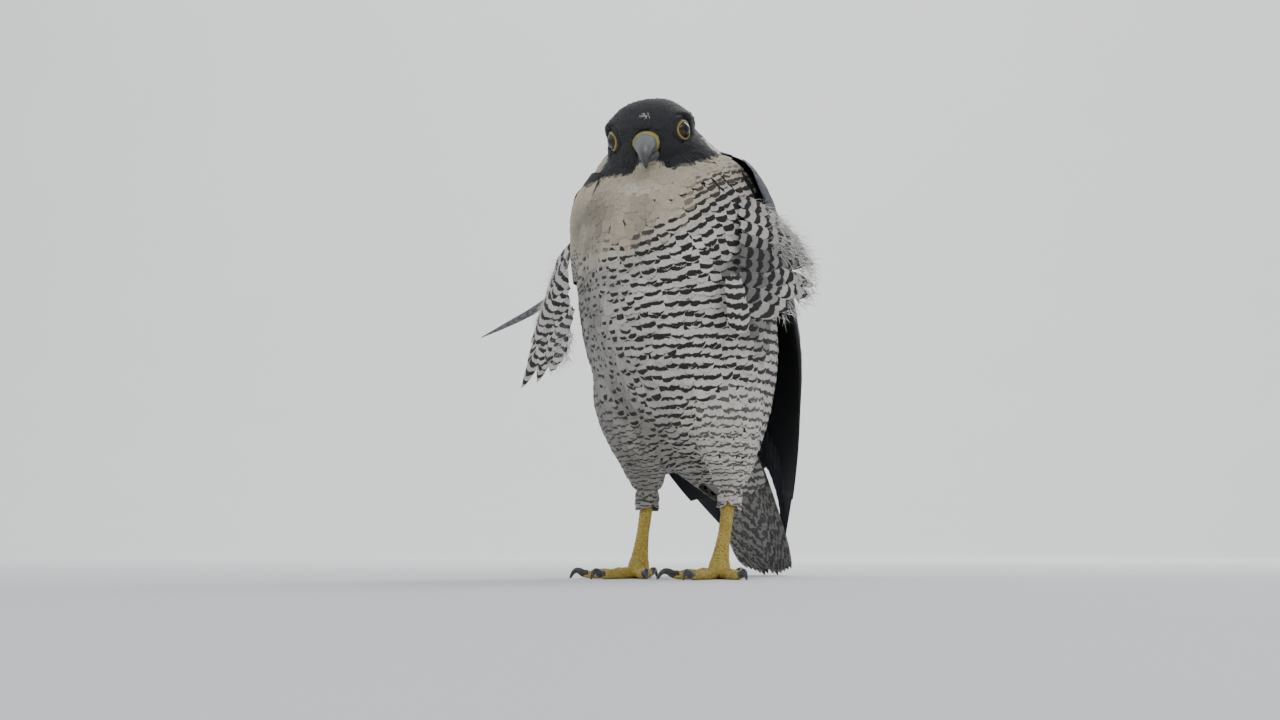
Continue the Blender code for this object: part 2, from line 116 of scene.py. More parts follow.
# Feathers of the head part round the eye by this radius and end this far from the head's middle, and
# behind it.
EYE_CLEAR, HEAD_REACH, HEAD_BACK = 7.9, 41, 22

# Share by which a long feather's edges fray, each root's patch in the bake map, and the most quads in a
# piece.
BLADE_FRAY, TUFT_PATCH, MOST_FACES = 0.02, 0.003, 95000

# Height of the shank's cut top, and how much its skin above is drawn out into the thigh.
SHANK_TOP, SHANK_DRAW = 50, 2.4

# Radius of the thigh's shell where it meets no flesh, and how far from its middle line its feathers may
# lie.
SHANK_RADIUS, THIGH_REACH = 6.2, 28.5

# Counts of bristles about the bill and of strands in the fleck on the forehead.
BRISTLES, FLECK_STRANDS = 620, 26

# Camera: turn to the bird's left and rise in degrees, distance, size of a picture's pixel at the head
# in metres, the pixel on which the head's middle lies, and the picture's size.
CAMERA_TURN, CAMERA_RISE, CAMERA_AWAY, PIXEL = 28.0, 6.0, 1.10, 0.62 * MM
HEAD_PIXEL, PICTURE = (652.0, 139.0), (1280, 720)

# Studio, in metres: radius of the flat floor, of the fillet about it, and the wall's height.
FLOOR_RADIUS, FILLET, WALL_TOP = 3.0, 2.0, 4.5


# Places

def box_middle(node):
    """The middle of a CAD node's box, in mm of the row frame."""
    low, high = (np.array(corner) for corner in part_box(node))
    return (low + high) / 2 / MM


EYES_MIDDLE = HEAD_CENTRE + HEAD_TURN @ np.array([0.0, EYE_PLACE[1], EYE_PLACE[2]])
BIRD_TO_ROW = (box_middle("eye_left") + box_middle("eye_right")) / 2 - EYES_MIDDLE


def smooth(stations, at):
    """Rows read between the stations by a Catmull-Rom curve, for at from 0 at the first to 1 at the
    last."""
    rows = np.array(stations, float)
    if rows.ndim == 1:
        rows = rows[:, None]
    ends = np.vstack([2 * rows[0] - rows[1], rows, 2 * rows[-1] - rows[-2]])
    place = np.clip(np.asarray(at, float), 0, 1) * (len(rows) - 1)
    first = np.minimum(place.astype(int), len(rows) - 2)
    t = (place - first)[..., None]
    a, b, c, d = (ends[first + k] for k in range(4))
    return 0.5 * (2 * b + (c - a) * t + (2 * a - 5 * b + 4 * c - d) * t**2 + (3 * b - a - 3 * c + d) * t**3)


def full_turn(count):
    """Angles evenly round a circle."""
    return np.linspace(0, 2 * np.pi, count, endpoint=False)


def unit(v):
    """Each vector divided by its own length."""
    return v / np.maximum(np.linalg.norm(v, axis=-1, keepdims=True), 1e-9)


def ease(low, high, x):
    """0 below low, 1 above high, and an S-curve between them."""
    t = np.clip((np.asarray(x, float) - low) / (high - low), 0, 1)
    return t * t * (3 - 2 * t)


def mix(a, b, t):
    """Straight blend from a to b, t being one number for each row."""
    return np.asarray(a) + (np.asarray(b) - np.asarray(a)) * np.asarray(t)[..., None]


def head_place(p):
    """Places in the head's own frame: its left, back and up from the middle of the head."""
    return (p - HEAD_CENTRE) @ HEAD_TURN


def from_head(p):
    """How far places lie from the middle of the head."""
    return np.linalg.norm(p - HEAD_CENTRE, axis=-1)


def varied(count, spread):
    """Numbers about 1, one for each feather, spread by a normal chance."""
    return 1 + spread * RANDOM.normal(0, 1, count)


def stacked(*parts):
    """Vectors from their parts, each a number or an array."""
    return np.stack(np.broadcast_arrays(*parts), axis=-1)


def bird_place(q):
    """Places in the head's own frame, brought back to the bird's."""
    return HEAD_CENTRE + q @ HEAD_TURN.T


def waves(p, size, seed):
    """A smooth uneven number about 0 for each place: a sum of six sines of random directions."""
    chance = np.random.default_rng(seed)
    total = np.zeros(p.shape[:-1])
    for _ in range(6):
        way = unit(chance.normal(size=3)) * (2 * np.pi / size) * chance.uniform(0.6, 1.6)
        total += np.sin(p @ way + chance.uniform(0, 6.28))
    return total / 3


# Meshes

def put_mesh(name, points, faces, material, uvs=None, marks=None):
    """One object from bird-frame points and quads, with its UV maps per corner and attributes per point."""
    points, faces = np.asarray(points, float).reshape(-1, 3), np.asarray(faces, np.int32)
    mesh = bpy.data.meshes.new(name)
    mesh.vertices.add(len(points))
    mesh.vertices.foreach_set("co", ((points + BIRD_TO_ROW) * MM).astype(np.float32).ravel())
    mesh.loops.add(faces.size)
    mesh.loops.foreach_set("vertex_index", faces.ravel())
    mesh.polygons.add(len(faces))
    mesh.polygons.foreach_set("loop_start", np.arange(0, faces.size, faces.shape[1], dtype=np.int32))
    mesh.polygons.foreach_set("loop_total", np.full(len(faces), faces.shape[1], np.int32))
    mesh.polygons.foreach_set("use_smooth", np.full(len(faces), True))
    mesh.update(calc_edges=True)
    for layer, uv in (uvs or {}).items():
        flat = uv.reshape(-1, 2)[faces.ravel()].astype(np.float32).ravel()
        mesh.uv_layers.new(name=layer).data.foreach_set("uv", flat)
    for title, values in (marks or {}).items():
        attribute = mesh.attributes.new(title, "FLOAT_VECTOR", "POINT")
        attribute.data.foreach_set("vector", np.asarray(values, np.float32).ravel())
    mesh.materials.append(material)
    made = in_scene(name, mesh)
    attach(made, "root")
    return made


def in_scene(name, data):
    """An object with the data, linked to the scene."""
    made = bpy.data.objects.new(name, data)
    bpy.context.scene.collection.objects.link(made)
    return made


def grid_faces(rows, columns):
    """Quads of a grid, facing the side from which rows then columns turn anticlockwise."""
    i, j = np.meshgrid(np.arange(rows - 1), np.arange(columns - 1), indexing="ij")
    corner = (i * columns + j).ravel()
    return stacked(corner, corner + columns, corner + columns + 1, corner + 1)


def ring_faces(rows, columns):
    """Quads of a grid whose last column joins its first."""
    i, j = np.meshgrid(np.arange(rows - 1), np.arange(columns), indexing="ij")
    i, j = i.ravel(), j.ravel()
    k = (j + 1) % columns
    return stacked(i * columns + j, (i + 1) * columns + j, (i + 1) * columns + k, i * columns + k)


def arrays_of(mesh):
    """A mesh as points in mm of the bird's frame and its quads."""
    count = len(mesh.vertices)
    points = np.empty(count * 3, np.float32)
    mesh.vertices.foreach_get("co", points)
    faces = np.empty(len(mesh.loops), np.int32)
    mesh.loops.foreach_get("vertex_index", faces)
    return points.reshape(-1, 3).astype(float) / MM - BIRD_TO_ROW, faces.reshape(len(mesh.polygons), -1)


def joined(nodes, voxel, rounds, finer=0):
    """The named solids melted into one closed surface by a voxel remesh, then smoothed: points and
    quads."""
    shape = bmesh.new()
    for node in nodes:
        shape.from_mesh(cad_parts[node].data)
    bmesh.ops.remove_doubles(shape, verts=shape.verts, dist=1e-6)
    mesh = bpy.data.meshes.new("joined")
    shape.to_mesh(mesh)
    shape.free()
    work = in_scene("joined", mesh)
    remesh = work.modifiers.new("melt", "REMESH")
    remesh.mode, remesh.voxel_size = "VOXEL", voxel * MM
    soften = work.modifiers.new("soften", "SMOOTH")
    soften.factor, soften.iterations = 0.5, rounds
    if finer:
        split = work.modifiers.new("split", "SUBSURF")
        split.levels = split.render_levels = finer
    graph = bpy.context.evaluated_depsgraph_get()
    points, faces = arrays_of(work.evaluated_get(graph).to_mesh())
    bpy.data.objects.remove(work)
    return points, faces


def point_normals(points, faces):
    """The mean direction of the faces round each point."""
    corners = points[faces]
    normal = np.cross(corners[:, 2] - corners[:, 0], corners[:, 3] - corners[:, 1])
    total = np.zeros_like(points)
    for k in range(4):
        np.add.at(total, faces[:, k], normal)
    return unit(total)


# Shells: the outside of the coat as a grid of places over two parameters

class Shell:
    """Places on a surface for a (round the middle line, or across) and b (along it), each from 0 to 1."""

    def __init__(self, points, wraps, outward=None):
        self.points, self.wraps = points, wraps
        if wraps:
            wide = np.concatenate([points[:, -1:], points, points[:, :1]], axis=1)
            self.across = np.gradient(wide, axis=1)[:, 1:-1] * points.shape[1]
        else:
            self.across = np.gradient(points, axis=1) * (points.shape[1] - 1)
        self.along = np.gradient(points, axis=0) * (points.shape[0] - 1)
        self.normals = unit(np.cross(self.across, self.along))
        if outward is not None:
            self.normals = self.normals * np.sign(np.sum(self.normals * outward, axis=-1, keepdims=True))

    def read(self, grid, a, b):
        """The grid's values at a and b, with straight steps between its points."""
        rows, columns = grid.shape[:2]
        y = np.clip(b, 0, 1) * (rows - 1)
        i = np.minimum(y.astype(int), rows - 2)
        y = (y - i)[..., None]
        if self.wraps:
            x = (a % 1.0) * columns
            j = x.astype(int) % columns
            k = (j + 1) % columns
            x = (x - np.floor(x))[..., None]
        else:
            x = np.clip(a, 0, 1) * (columns - 1)
            j = np.minimum(x.astype(int), columns - 2)
            k = j + 1
            x = (x - j)[..., None]
        low = grid[i, j] * (1 - x) + grid[i, k] * x
        high = grid[i + 1, j] * (1 - x) + grid[i + 1, k] * x
        return low * (1 - y) + high * y

    def place(self, a, b):
        """The shell's place at a and b."""
        return self.read(self.points, a, b)

    def normal(self, a, b):
        """The shell's outward direction at a and b."""
        return unit(self.read(self.normals, a, b))


def blurred(grid, along, around):
    """The grid with each value made the mean of its neighbours, a number of times each way. It wraps
    round."""
    for _ in range(around):
        grid = (np.roll(grid, 1, 1) + 2 * grid + np.roll(grid, -1, 1)) / 4
    for _ in range(along):
        wide = np.concatenate([2 * grid[:1] - grid[1:2], grid, 2 * grid[-1:] - grid[-2:-1]])
        grid = (wide[:-2] + 2 * wide[1:-1] + wide[2:]) / 4
    return grid


def cast_shell(tree, origins, ways, reach, blur, missed=None):
    """A shell where rays from inside the solids come out, no further off than reach."""
    rows, columns = ways.shape[:2]
    far = np.full((rows, columns), float(reach if missed is None else missed))
    for i in range(rows):
        for j in range(columns):
            hit = tree.ray_cast(Vector(origins[i, j]), Vector(ways[i, j]), reach)
            if hit[0] is not None:
                far[i, j] = hit[3]
    far = blurred(far, *blur)
    return Shell(origins + ways * far[..., None], True, ways)


def line_shell(tree, line, rows, columns, reach, blur=(6, 6), missed=None):
    """A shell round a middle line of x, y, z and the lift of its rays in degrees. The turn goes from
    straight ahead towards the left."""
    stations = smooth(line, np.linspace(0, 1, rows))
    turn = full_turn(columns)[None, :]
    lift = np.radians(stations[:, 3])[:, None]
    level = np.cos(lift) + 0 * turn
    ways = stacked(np.sin(turn) * level, -np.cos(turn) * level, np.sin(lift) + 0 * turn)
    origins = np.repeat(stations[:, None, :3], columns, axis=1)
    return cast_shell(tree, origins, ways, reach, blur, missed)


# Middle lines: of the body from vent to neck, of the back from rump to neck, and of the left thigh.
BODY_LINE = (
    (0, 47, 84, -72), (0, 41, 91, -46), (0, 32, 102, -22), (0, 19, 120, -4), (0, 9, 145, 0), (0, 3, 175, 0),
    (0, -2, 205, 2), (-1, -5, 222, 12), (-2, -7, 231, 28), (-3, -9, 236, 44), (-4, -11, 239, 60),
)
BACK_LINE = (
    (0, 40, 110, 0), (0, 30, 140, 0), (0, 20, 170, 0), (0, 10, 200, 4), (0, 2, 222, 14), (-1, -4, 236, 28),
    (-3, -10, 248, 44), (-4, -17, 258, 44), (-4, -24, 267, 52), (-4, -29, 271, 70),
)
THIGH_LINE = (
    (28.7, 11.5, 43, -8), (29.1, 13.0, 53, -8), (29.5, 13, 62, -8), (30, 10, 72, -4), (30, 4, 90, 0),
    (29, -1, 112, 0), (28, 0, 128, 0),
)


HEAD_SWING = (14, 150)


def head_shell(tree, rows, columns):
    """A shell round the head: b runs from the bill to the nape, and a round that line from crown to
    left."""
    swing = np.radians(np.linspace(HEAD_SWING[0], HEAD_SWING[1], rows))[:, None]
    turn = full_turn(columns)[None, :]
    ways = stacked(np.sin(swing) * np.sin(turn), -np.cos(swing) + 0 * turn, np.sin(swing) * np.cos(turn))
    origins = np.broadcast_to(HEAD_CENTRE, ways.shape)
    return cast_shell(tree, origins, ways @ HEAD_TURN.T, 44, (1, 1))


def wing_surface(s, t, sign, out=0.0):
    """Place on the folded wing and its outward direction, s from wrist to tip, t from front to back
    edge."""
    s, t = np.broadcast_arrays(np.asarray(s, float), np.asarray(t, float))
    front, back = smooth(WING_FRONT, s), smooth(WING_BACK, s)
    near, far = np.clip(s - 0.01, 0, 1), np.clip(s + 0.01, 0, 1)
    down = smooth(WING_FRONT, far) + smooth(WING_BACK, far)
    down = down - smooth(WING_FRONT, near) - smooth(WING_BACK, near)
    chord = back - front
    outward = unit(np.cross(down, chord))
    outward = outward * np.sign(outward[..., :1] + 1e-9)
    rise = np.sin(np.pi * np.clip(t, 0.0, 1.0)) ** 0.8
    bulge = smooth(WING_BULGE, s)[..., 0] * rise + out
    place = front + chord * t[..., None] + outward * bulge[..., None]
    return place * (sign, 1, 1), outward * (sign, 1, 1)


def wing_shell(sign):
    """The wing's surface as a shell. Its a runs from a margin ahead of the front edge to one behind the
    back."""
    s, t = np.linspace(0, 1, 90)[:, None], np.linspace(-WING_MARGIN, 1 + WING_MARGIN, 48)[None, :]
    points, outward = wing_surface(s, t, sign)
    return Shell(points, False, outward)


def tail_surface(s, x, out):
    """Place on the folded tail at s from root to tip, x mm from its middle feather, out over its top."""
    s, x, out = np.broadcast_arrays(np.asarray(s, float), np.asarray(x, float), np.asarray(out, float))
    place = TAIL_ROOT + (TAIL_TIP - TAIL_ROOT) * s[..., None]
    drop = 5.0 * (x / 21.0) ** 2 * (1 - 0.8 * np.clip((s - 0.9) / 0.1, 0, 1))
    place = place + TAIL_UP * (out - drop)[..., None]
    place[..., 0] += x
    return place


# Markings: one rule for skin and feathers

HOOD, NAPE = (0.013, 0.013, 0.017), (0.026, 0.028, 0.036)
SLATE, SLATE_DEEP = (0.038, 0.043, 0.056), (0.018, 0.020, 0.025)
# The second colour is a darker buff: a little of it varies the bib's tone, the rest is painted shade.
CREAM, BUFF_PAINTED_SHADE_AND_TONE, WHITE = (0.62, 0.53, 0.40), (0.17, 0.145, 0.115), (0.70, 0.665, 0.61)
# The belly's grey is partly its own colour and partly painted shade.
BELLY_GREY_AND_SHADE, BAR_DARK = (0.27, 0.26, 0.24), (0.020, 0.017, 0.017)


def bib_edge(x):
    """Height of the bib's lower edge: it falls away to the bird's right and climbs to its left shoulder."""
    return 207 + 0.10 * (x + 60) + 0.0095 * np.maximum(x + 5, 0) ** 2


def hood_share(p):
    """1 under the dark hood and its broad moustache, 0 on the chin, the cheek patch and the neck."""
    q = head_place(p)
    x, y, z = q[..., 0], q[..., 1], q[..., 2]
    ragged = 0.9 * waves(p, 6, 3)
    hood = ease(-1.3, 1.3, z + 18.4 - 0.03 * np.abs(x) + ragged)
    chin = ease(-1.5, 1.5, (-7.5 - z) * 1.15 - np.abs(x + 1.5) + ragged) * (y < 4)
    top = np.minimum(-14.0 + 0.75 * (y + 8), -5.5)
    cheek = ease(-1.5, 1.5, y + 4.0 + ragged) * ease(1.2, -1.2, z - top) * ease(17, 14, y + ragged)
    cheek *= ease(8, 12, np.abs(x))
    nape = ease(10, 15, y + 0.2 * z + ragged) * ease(-60, -50, z)
    return np.maximum(hood * (1 - chin) * (1 - cheek), nape)


def slant(p):
    """How far a row has climbed at a place: rows are level low down and follow the bib's edge high up."""
    share = ease(165, 235, p[..., 2]) * ease(30, -10, p[..., 1])
    return (bib_edge(p[..., 0]) - bib_edge(0.0)) * share


# Height in mm, the bars' pitch there, and the turns of the bars counted up to it.
LEVELS = np.linspace(20, 300, 281)
PITCHES = 6.0 - 2.4 * ease(188, 240, LEVELS)
TURNS = np.cumsum(1 / PITCHES)


def markings(p, length=16.0):
    """Ground colour, bars (strength, reach across, pitch) and their place (centre, half thickness,
    paleness) for feathers of a length. Bars run level across the feathers by the turns of the pitch;
    spots sit near a tip."""
    x, y, z = p[..., 0], p[..., 1], p[..., 2]
    chance = RANDOM.normal(0, 1, (4, *x.shape))
    hood = hood_share(p) * ease(47, 43, from_head(p))
    mottle, fine = waves(p, 30, 5), waves(p, 9, 6)
    # The belly goes greyer towards the bird's right and lower down: painted shade over an uneven grey of
    # its own.
    belly = mix(WHITE, BELLY_GREY_AND_SHADE, np.clip(0.30 + 0.22 * mottle - 0.016 * (x - 5) + 0.002 * (150 - z), 0, 1))
    # Painted shade: the ground goes dark grey in a band between the breast and the left flank, where the
    # flank feathers stand away from the body.
    hollow = ease(10, 4, np.abs(x - 51.5 - 0.23 * (202 - z)))
    hollow = hollow * ease(212, 200, z) * ease(138, 158, z) * (y < 0)
    belly = mix(belly, (0.13, 0.13, 0.13), 0.8 * hollow * np.clip(0.8 + 0.3 * chance[3], 0, 1))
    # Painted shade on the bib: a shaded hollow low on the bird's right, and a crease down its middle.
    shade = 0.85 * ease(27, 3, np.hypot((x + 34) * 0.75, (z - 221) * 1.1)) * (y < -10)
    crease = 0.5 * ease(14, 2, np.abs(x - 6)) * ease(204, 214, z) * ease(234, 222, z) * (y < -20)
    shade = np.maximum(shade, crease)
    bib = mix(CREAM, BUFF_PAINTED_SHADE_AND_TONE, np.clip(shade * 0.85 + 0.08 + 0.05 * fine, 0, 1))
    # Painted highlight: a paler band along the ridge at the top of the bib.
    ridge = ease(5, 1, np.abs(z - 233 + 0.15 * (x - 3))) * ease(18, 8, np.abs(x - 3)) * (y < -30)
    bib = mix(bib, (0.74, 0.68, 0.57), 0.6 * ridge)
    in_bib = ease(-4, 4, z - bib_edge(x) + 2.5 * fine)
    ground = mix(belly, bib, ease(-18, 6, z - bib_edge(x) + 2.5 * fine))
    behind = ease(-4, 4, y - 8 + 0.25 * (z - 250)) * ease(226, 238, z)
    ground = mix(ground, NAPE, behind)
    ground = mix(ground, HOOD, hood)

    bold = ease(-32, 26, x)
    strength = (1 - in_bib) * (1 - behind) * (1 - hood)
    strength = np.clip(strength + 0.9 * in_bib * ease(24, 34, x) * ease(22, 12, z - bib_edge(x)), 0, 1)
    reach = np.clip(0.34 + 0.75 * bold + 0.5 * ease(-34, -58, x) + 0.25 * ease(130, 90, z), 0.2, 1.3)
    reach = reach * (1 + 0.22 * chance[0] * (1 - bold))
    strength = strength * (chance[1] > -1.3 - 2 * bold - ease(130, 100, z))
    height = z - slant(p)
    turns, pitch = np.interp(height, LEVELS, TURNS), np.interp(height, LEVELS, PITCHES) / length / 0.93
    level = bold + 0.12 * chance[1] > 0.42
    centre = np.where(level, (turns % 1.0) * pitch + 0.030 * chance[2], 0.82 + 0.035 * chance[2])
    half = np.where(level, pitch * (0.20 + 0.05 * ease(190, 235, z)), 0.058) * (1 + 0.15 * chance[3])
    bars = stacked(strength, reach, np.where(level, pitch, 0.36))
    tone = 0.5 + (0.20 * fine + 0.10 * chance[0]) * (1 - 0.85 * in_bib)
    return ground, bars, stacked(centre, half, tone)


def plain_marks(count, ground, tone):
    """Marks of feathers or down of one colour without bars."""
    zero = np.zeros((count, 3))
    return zero + ground, zero + (0, 0, 1), zero + (0, 0, tone)


def unbarred(p, tones):
    """The marks of places without their bars, for tiny feathers with tones of their own."""
    ground, bars, place = markings(p)
    bars[:, 0] *= 0
    place[:, 2] = np.clip(tones(place[:, 2]) + 0.30 * RANDOM.normal(0, 1, len(p)), 0, 1.2)
    return ground, bars, place


def slate_marks(p, ground, strength, pitch=0.22, half=0.055, spread=0.12):
    """Marks of dark feathers: one ground a little varied from feather to feather, and soft cross bars."""
    count = len(p)
    light = 1 + spread * RANDOM.normal(0, 1, (count, 1)) + 0.12 * waves(p, 40, 8)[:, None]
    ground = np.clip(np.asarray(ground) * light, 0.004, 1)
    one = np.ones(count)
    bars = stacked(strength * one, 1.3 * one, pitch * one)
    place = stacked(0.78 + 0.03 * RANDOM.normal(0, 1, count), half * one, 0.5 * one)
    return ground, bars, place


# Feathers

def feather_maps(u, v, root):
    """The two maps of feathers: vane is the place across and along one feather, root the place of its
    root on an unwrap of the coat."""
    vane = stacked(u * 0.5 + 0.5, v)
    vane = np.broadcast_to(vane, (len(root), *vane.shape[-3:]))
    return {"vane": vane, "root": np.broadcast_to(root[:, None, None, :], vane.shape)}


def vane_outline(v, point):
    """Half width of a feather along its length, as a share of its greatest: narrow root, broad round end,
    or a sharper end as point goes to 1."""
    end = np.clip((v - 0.60) / 0.40, 0, 1)
    rounded = np.sqrt(np.clip(1 - end**2.4, 0.02, 1))
    sharp = np.clip(1 - end * 0.97, 0.03, 1) ** 0.75
    return (0.50 + 0.50 * ease(0, 0.45, v)) * (rounded * (1 - point) + sharp * point)


def lay(shell, a, b, length, width, lie, *, grid, rise, sit, camber, jitter, ragged, point=0.0):
    """Feathers that hug the shell. Each runs from its root at (a, b) along lie, by steps of the shell's
    own two slopes, rises to its tip by rise times its length, and is crowned across by camber times its
    width."""
    count = len(a)
    rows, columns = grid
    length, width, rise, sit, point = (np.broadcast_to(np.asarray(k, float), (count,)) for k in
                                       (length, width, rise, sit, point))
    normal = shell.normal(a, b)
    across_step, along_step = shell.read(shell.across, a, b), shell.read(shell.along, a, b)
    down = unit(lie - normal * np.sum(lie * normal, axis=-1, keepdims=True))
    side = np.cross(normal, down)
    swing = np.radians(RANDOM.normal(0, jitter, count))[:, None]
    down, side = down * np.cos(swing) + side * np.sin(swing), side * np.cos(swing) - down * np.sin(swing)
    aa = np.sum(across_step * across_step, axis=-1)
    ab = np.sum(across_step * along_step, axis=-1)
    bb = np.sum(along_step * along_step, axis=-1)
    det = np.maximum(aa * bb - ab * ab, 1e-9)

    def steps(way):
        """Steps of a and b that go 1 mm along a way."""
        da, db = np.sum(across_step * way, axis=-1), np.sum(along_step * way, axis=-1)
        return ((bb * da - ab * db) / det)[:, None, None], ((aa * db - ab * da) / det)[:, None, None]

    v = 1 - (1 - np.linspace(0, 1, rows)) ** 1.5
    u = np.linspace(-1, 1, columns)
    s = length[:, None, None] * v[None, :, None] * (1 - 0.05 * u**2 * v[:, None] ** 2)
    half = width[:, None, None] / 2 * vane_outline(v[None, :, None], point[:, None, None])
    rim = 1 - ragged * RANDOM.random((count, rows, columns)) * (np.abs(u) > 0.99)
    w = half * u * rim
    s[:, -1, :] *= 1 - ragged * RANDOM.random((count, columns))
    s[:, -2, :] *= 1 - ragged * 0.3 * RANDOM.random((count, columns))
    (da_s, db_s), (da_w, db_w) = steps(down), steps(side)
    at_a = a[:, None, None] + da_s * s + da_w * w
    at_b = b[:, None, None] + db_s * s + db_w * w
    crown = camber * width[:, None, None] * (0.5 - u**2) * ease(0, 0.5, v)[:, None]
    lift = sit[:, None, None] + rise[:, None, None] * s + crown
    points = shell.place(at_a, at_b) + shell.normal(at_a, at_b) * lift[..., None]
    root = stacked(a % 1.0 if shell.wraps else np.clip(a, 0, 1), np.clip(b, 0, 1))
    return points, feather_maps(u, v[:, None], root)


def blades(start, end, width, grid, point, crowd, bow, narrow=0.0):
    """Long feathers that each run straight from start (s, across) to end, by the vane's outline, with
    frayed edges. Rows crowd towards the tip, the sides fall back by bow, and narrow takes that share off
    one vane. Returns u across, v along, s, the middle line's place across, and how far off it each point
    lies."""
    rows, columns = grid
    v = (1 - (1 - np.linspace(0, 1, rows)) ** crowd)[None, :, None]
    u = np.linspace(-1, 1, columns)[None, None, :]
    width = np.broadcast_to(width, len(start))[:, None, None]
    half = width / 2 * vane_outline(v, point) * (1 + narrow * np.sign(u))
    rim = 1 - BLADE_FRAY * RANDOM.random((len(start), rows, columns)) * (np.abs(u) > 0.99)
    first, gone = start[:, None, None], (end - start)[:, None, None]
    s = first[..., 0] + gone[..., 0] * v * (1 - bow * u**2)
    return u, v, s, first[..., 1] + gone[..., 1] * v, half * u * rim


def wisps(roots, ways, length, width, curl, rows=6):
    """Down: thin strips from roots along ways, that curl away with the square of their length. Each strip
    is turned to a side of its own."""
    count = len(roots)
    v = np.linspace(0, 1, rows)[None, :, None, None]
    length = np.broadcast_to(np.asarray(length, float), (count,))[:, None, None, None]
    side = unit(np.cross(ways, RANDOM.normal(0, 1, (count, 3))))
    bend = unit(np.cross(side, ways)) * RANDOM.normal(0, 1, (count, 1)) + np.array([0.0, 0.0, -0.4])
    line = roots[:, None, None, :] + ways[:, None, None, :] * length * v
    line = line + bend[:, None, None, :] * (curl * length * v**2)
    across = side[:, None, None, :] * np.array([-0.5, 0.5])[None, None, :, None] * width * (1.05 - v)
    points = line + across
    root = stacked(np.arange(count) % 97 / 97, np.arange(count) / count)
    return points, feather_maps(np.array([-0.4, 0.4]), v[0, :, :, 0], root)




def coat(name, batches, material):
    """Coat pieces of joined feathers. A batch is (points, maps, marks). No piece gets too many faces."""
    pieces, held, faces_held = [], [], 0
    for grids, maps, marks in batches:
        rows, columns = grids.shape[1:3]
        per = (rows - 1) * (columns - 1)
        step = max(1, MOST_FACES // per)
        for start in range(0, len(grids), step):
            part = slice(start, start + step)
            size = len(grids[part]) * per
            if held and faces_held + size > MOST_FACES:
                pieces.append(held)
                held, faces_held = [], 0
            held.append((grids[part], {k: m[part] for k, m in maps.items()}, [m[part] for m in marks]))
            faces_held += size
    pieces.append(held)
    for number, piece in enumerate(pieces, 1):
        points, faces, vane, bake, looks, start = [], [], [], [], [[], [], []], 0
        for grids, maps, marks in piece:
            count, rows, columns = grids.shape[:3]
            one = grid_faces(rows, columns)
            firsts = (np.arange(count) * rows * columns)[:, None, None]
            faces.append((one[None] + firsts).reshape(-1, 4) + start)
            start += count * rows * columns
            points.append(grids.reshape(-1, 3))
            vane.append(maps["vane"].reshape(-1, 2))
            bake.append((maps["root"] * 0.99 + 0.004 + (maps["vane"] - 0.5) * TUFT_PATCH).reshape(-1, 2))
            for kept, values in zip(looks, marks):
                spread = np.broadcast_to(values[:, None, None, :], (count, rows, columns, 3))
                kept.append(spread.reshape(-1, 3))
        title = name if len(pieces) == 1 else f"{name}_{number}"
        uvs = {"vane": np.concatenate(vane), "OFBake": np.concatenate(bake)}
        named = dict(zip(("ground", "bars", "place"), (np.concatenate(m) for m in looks)))
        put_mesh(title, np.concatenate(points), np.concatenate(faces), material, uvs, named)


def lattice(shell, first, last, row_step, column_step):
    """Roots in rows round a shell from b = last down to b = first, each row shifted by half a step from
    the one before, all a little uneven. Steps are lengths in mm, for a place b. Returns a and b."""
    level, row = last, 0
    all_a, all_b = [], []
    turn = np.linspace(0, 1, 97)
    while level > first:
        ring = shell.place(turn, np.full(97, level))
        run = np.concatenate([[0], np.cumsum(np.linalg.norm(np.diff(ring, axis=0), axis=1))])
        slope = np.quantile(np.linalg.norm(shell.read(shell.along, turn, np.full(97, level)), axis=-1), 0.7)
        step = row_step(level) / slope
        count = max(3, int(run[-1] / column_step(level)))
        even = (np.arange(count) + 0.5 * (row % 2) + RANDOM.normal(0, 0.10, count)) / count
        a = np.interp(even * run[-1], run, turn)
        all_a.append(a)
        all_b.append(level + RANDOM.normal(0, 0.10, count) * step)
        level -= step
        row += 1
    return np.concatenate(all_a), np.concatenate(all_b)


# Shader helpers

class Wire:
    """A number in a shader tree. Sums written with it make math nodes."""

    def __init__(self, tree, socket):
        self.tree, self.socket = tree, socket

    def math(self, operation, *others):
        """The result of one math node on this number and others."""
        node = self.tree.nodes.new("ShaderNodeMath")
        node.operation = operation
        for value, socket in zip((self, *others), node.inputs):
            link(self.tree, value, socket)
        return Wire(self.tree, node.outputs[0])

    def __add__(self, other):
        return self.math("ADD", other)

    def __sub__(self, other):
        return self.math("SUBTRACT", other)

    def __mul__(self, other):
        return self.math("MULTIPLY", other)

    def __truediv__(self, other):
        return self.math("DIVIDE", other)


def link(tree, source, target):
    """Join a wire or an output to an input, or set the input when source is a value."""
    source = getattr(source, "socket", source)
    if hasattr(source, "is_output"):
        tree.links.new(source, target)
    else:
        target.default_value = source


def uv_map(tree, name):
    """The place on one of the piece's UV maps."""
    node = tree.nodes.new("ShaderNodeUVMap")
    node.uv_map = name
    return node.outputs[0]


def step_node(tree, low, high, value):
    """An S-curve from 0 at low to 1 at high."""
    node = tree.nodes.new("ShaderNodeMapRange")
    node.interpolation_type = "SMOOTHSTEP"
    link(tree, value, node.inputs["Value"])
    link(tree, low, node.inputs["From Min"])
    link(tree, high, node.inputs["From Max"])
    return Wire(tree, node.outputs["Result"])


def mix_node(tree, share, a, b, blend="MIX"):
    """Colour a turned into colour b by share."""
    node = tree.nodes.new("ShaderNodeMix")
    node.data_type, node.blend_type = "RGBA", blend
    link(tree, share, node.inputs[0])
    for colour, socket in ((a, node.inputs[6]), (b, node.inputs[7])):
        link(tree, colour if hasattr(colour, "is_output") else (*colour, 1), socket)
    return node.outputs[2]


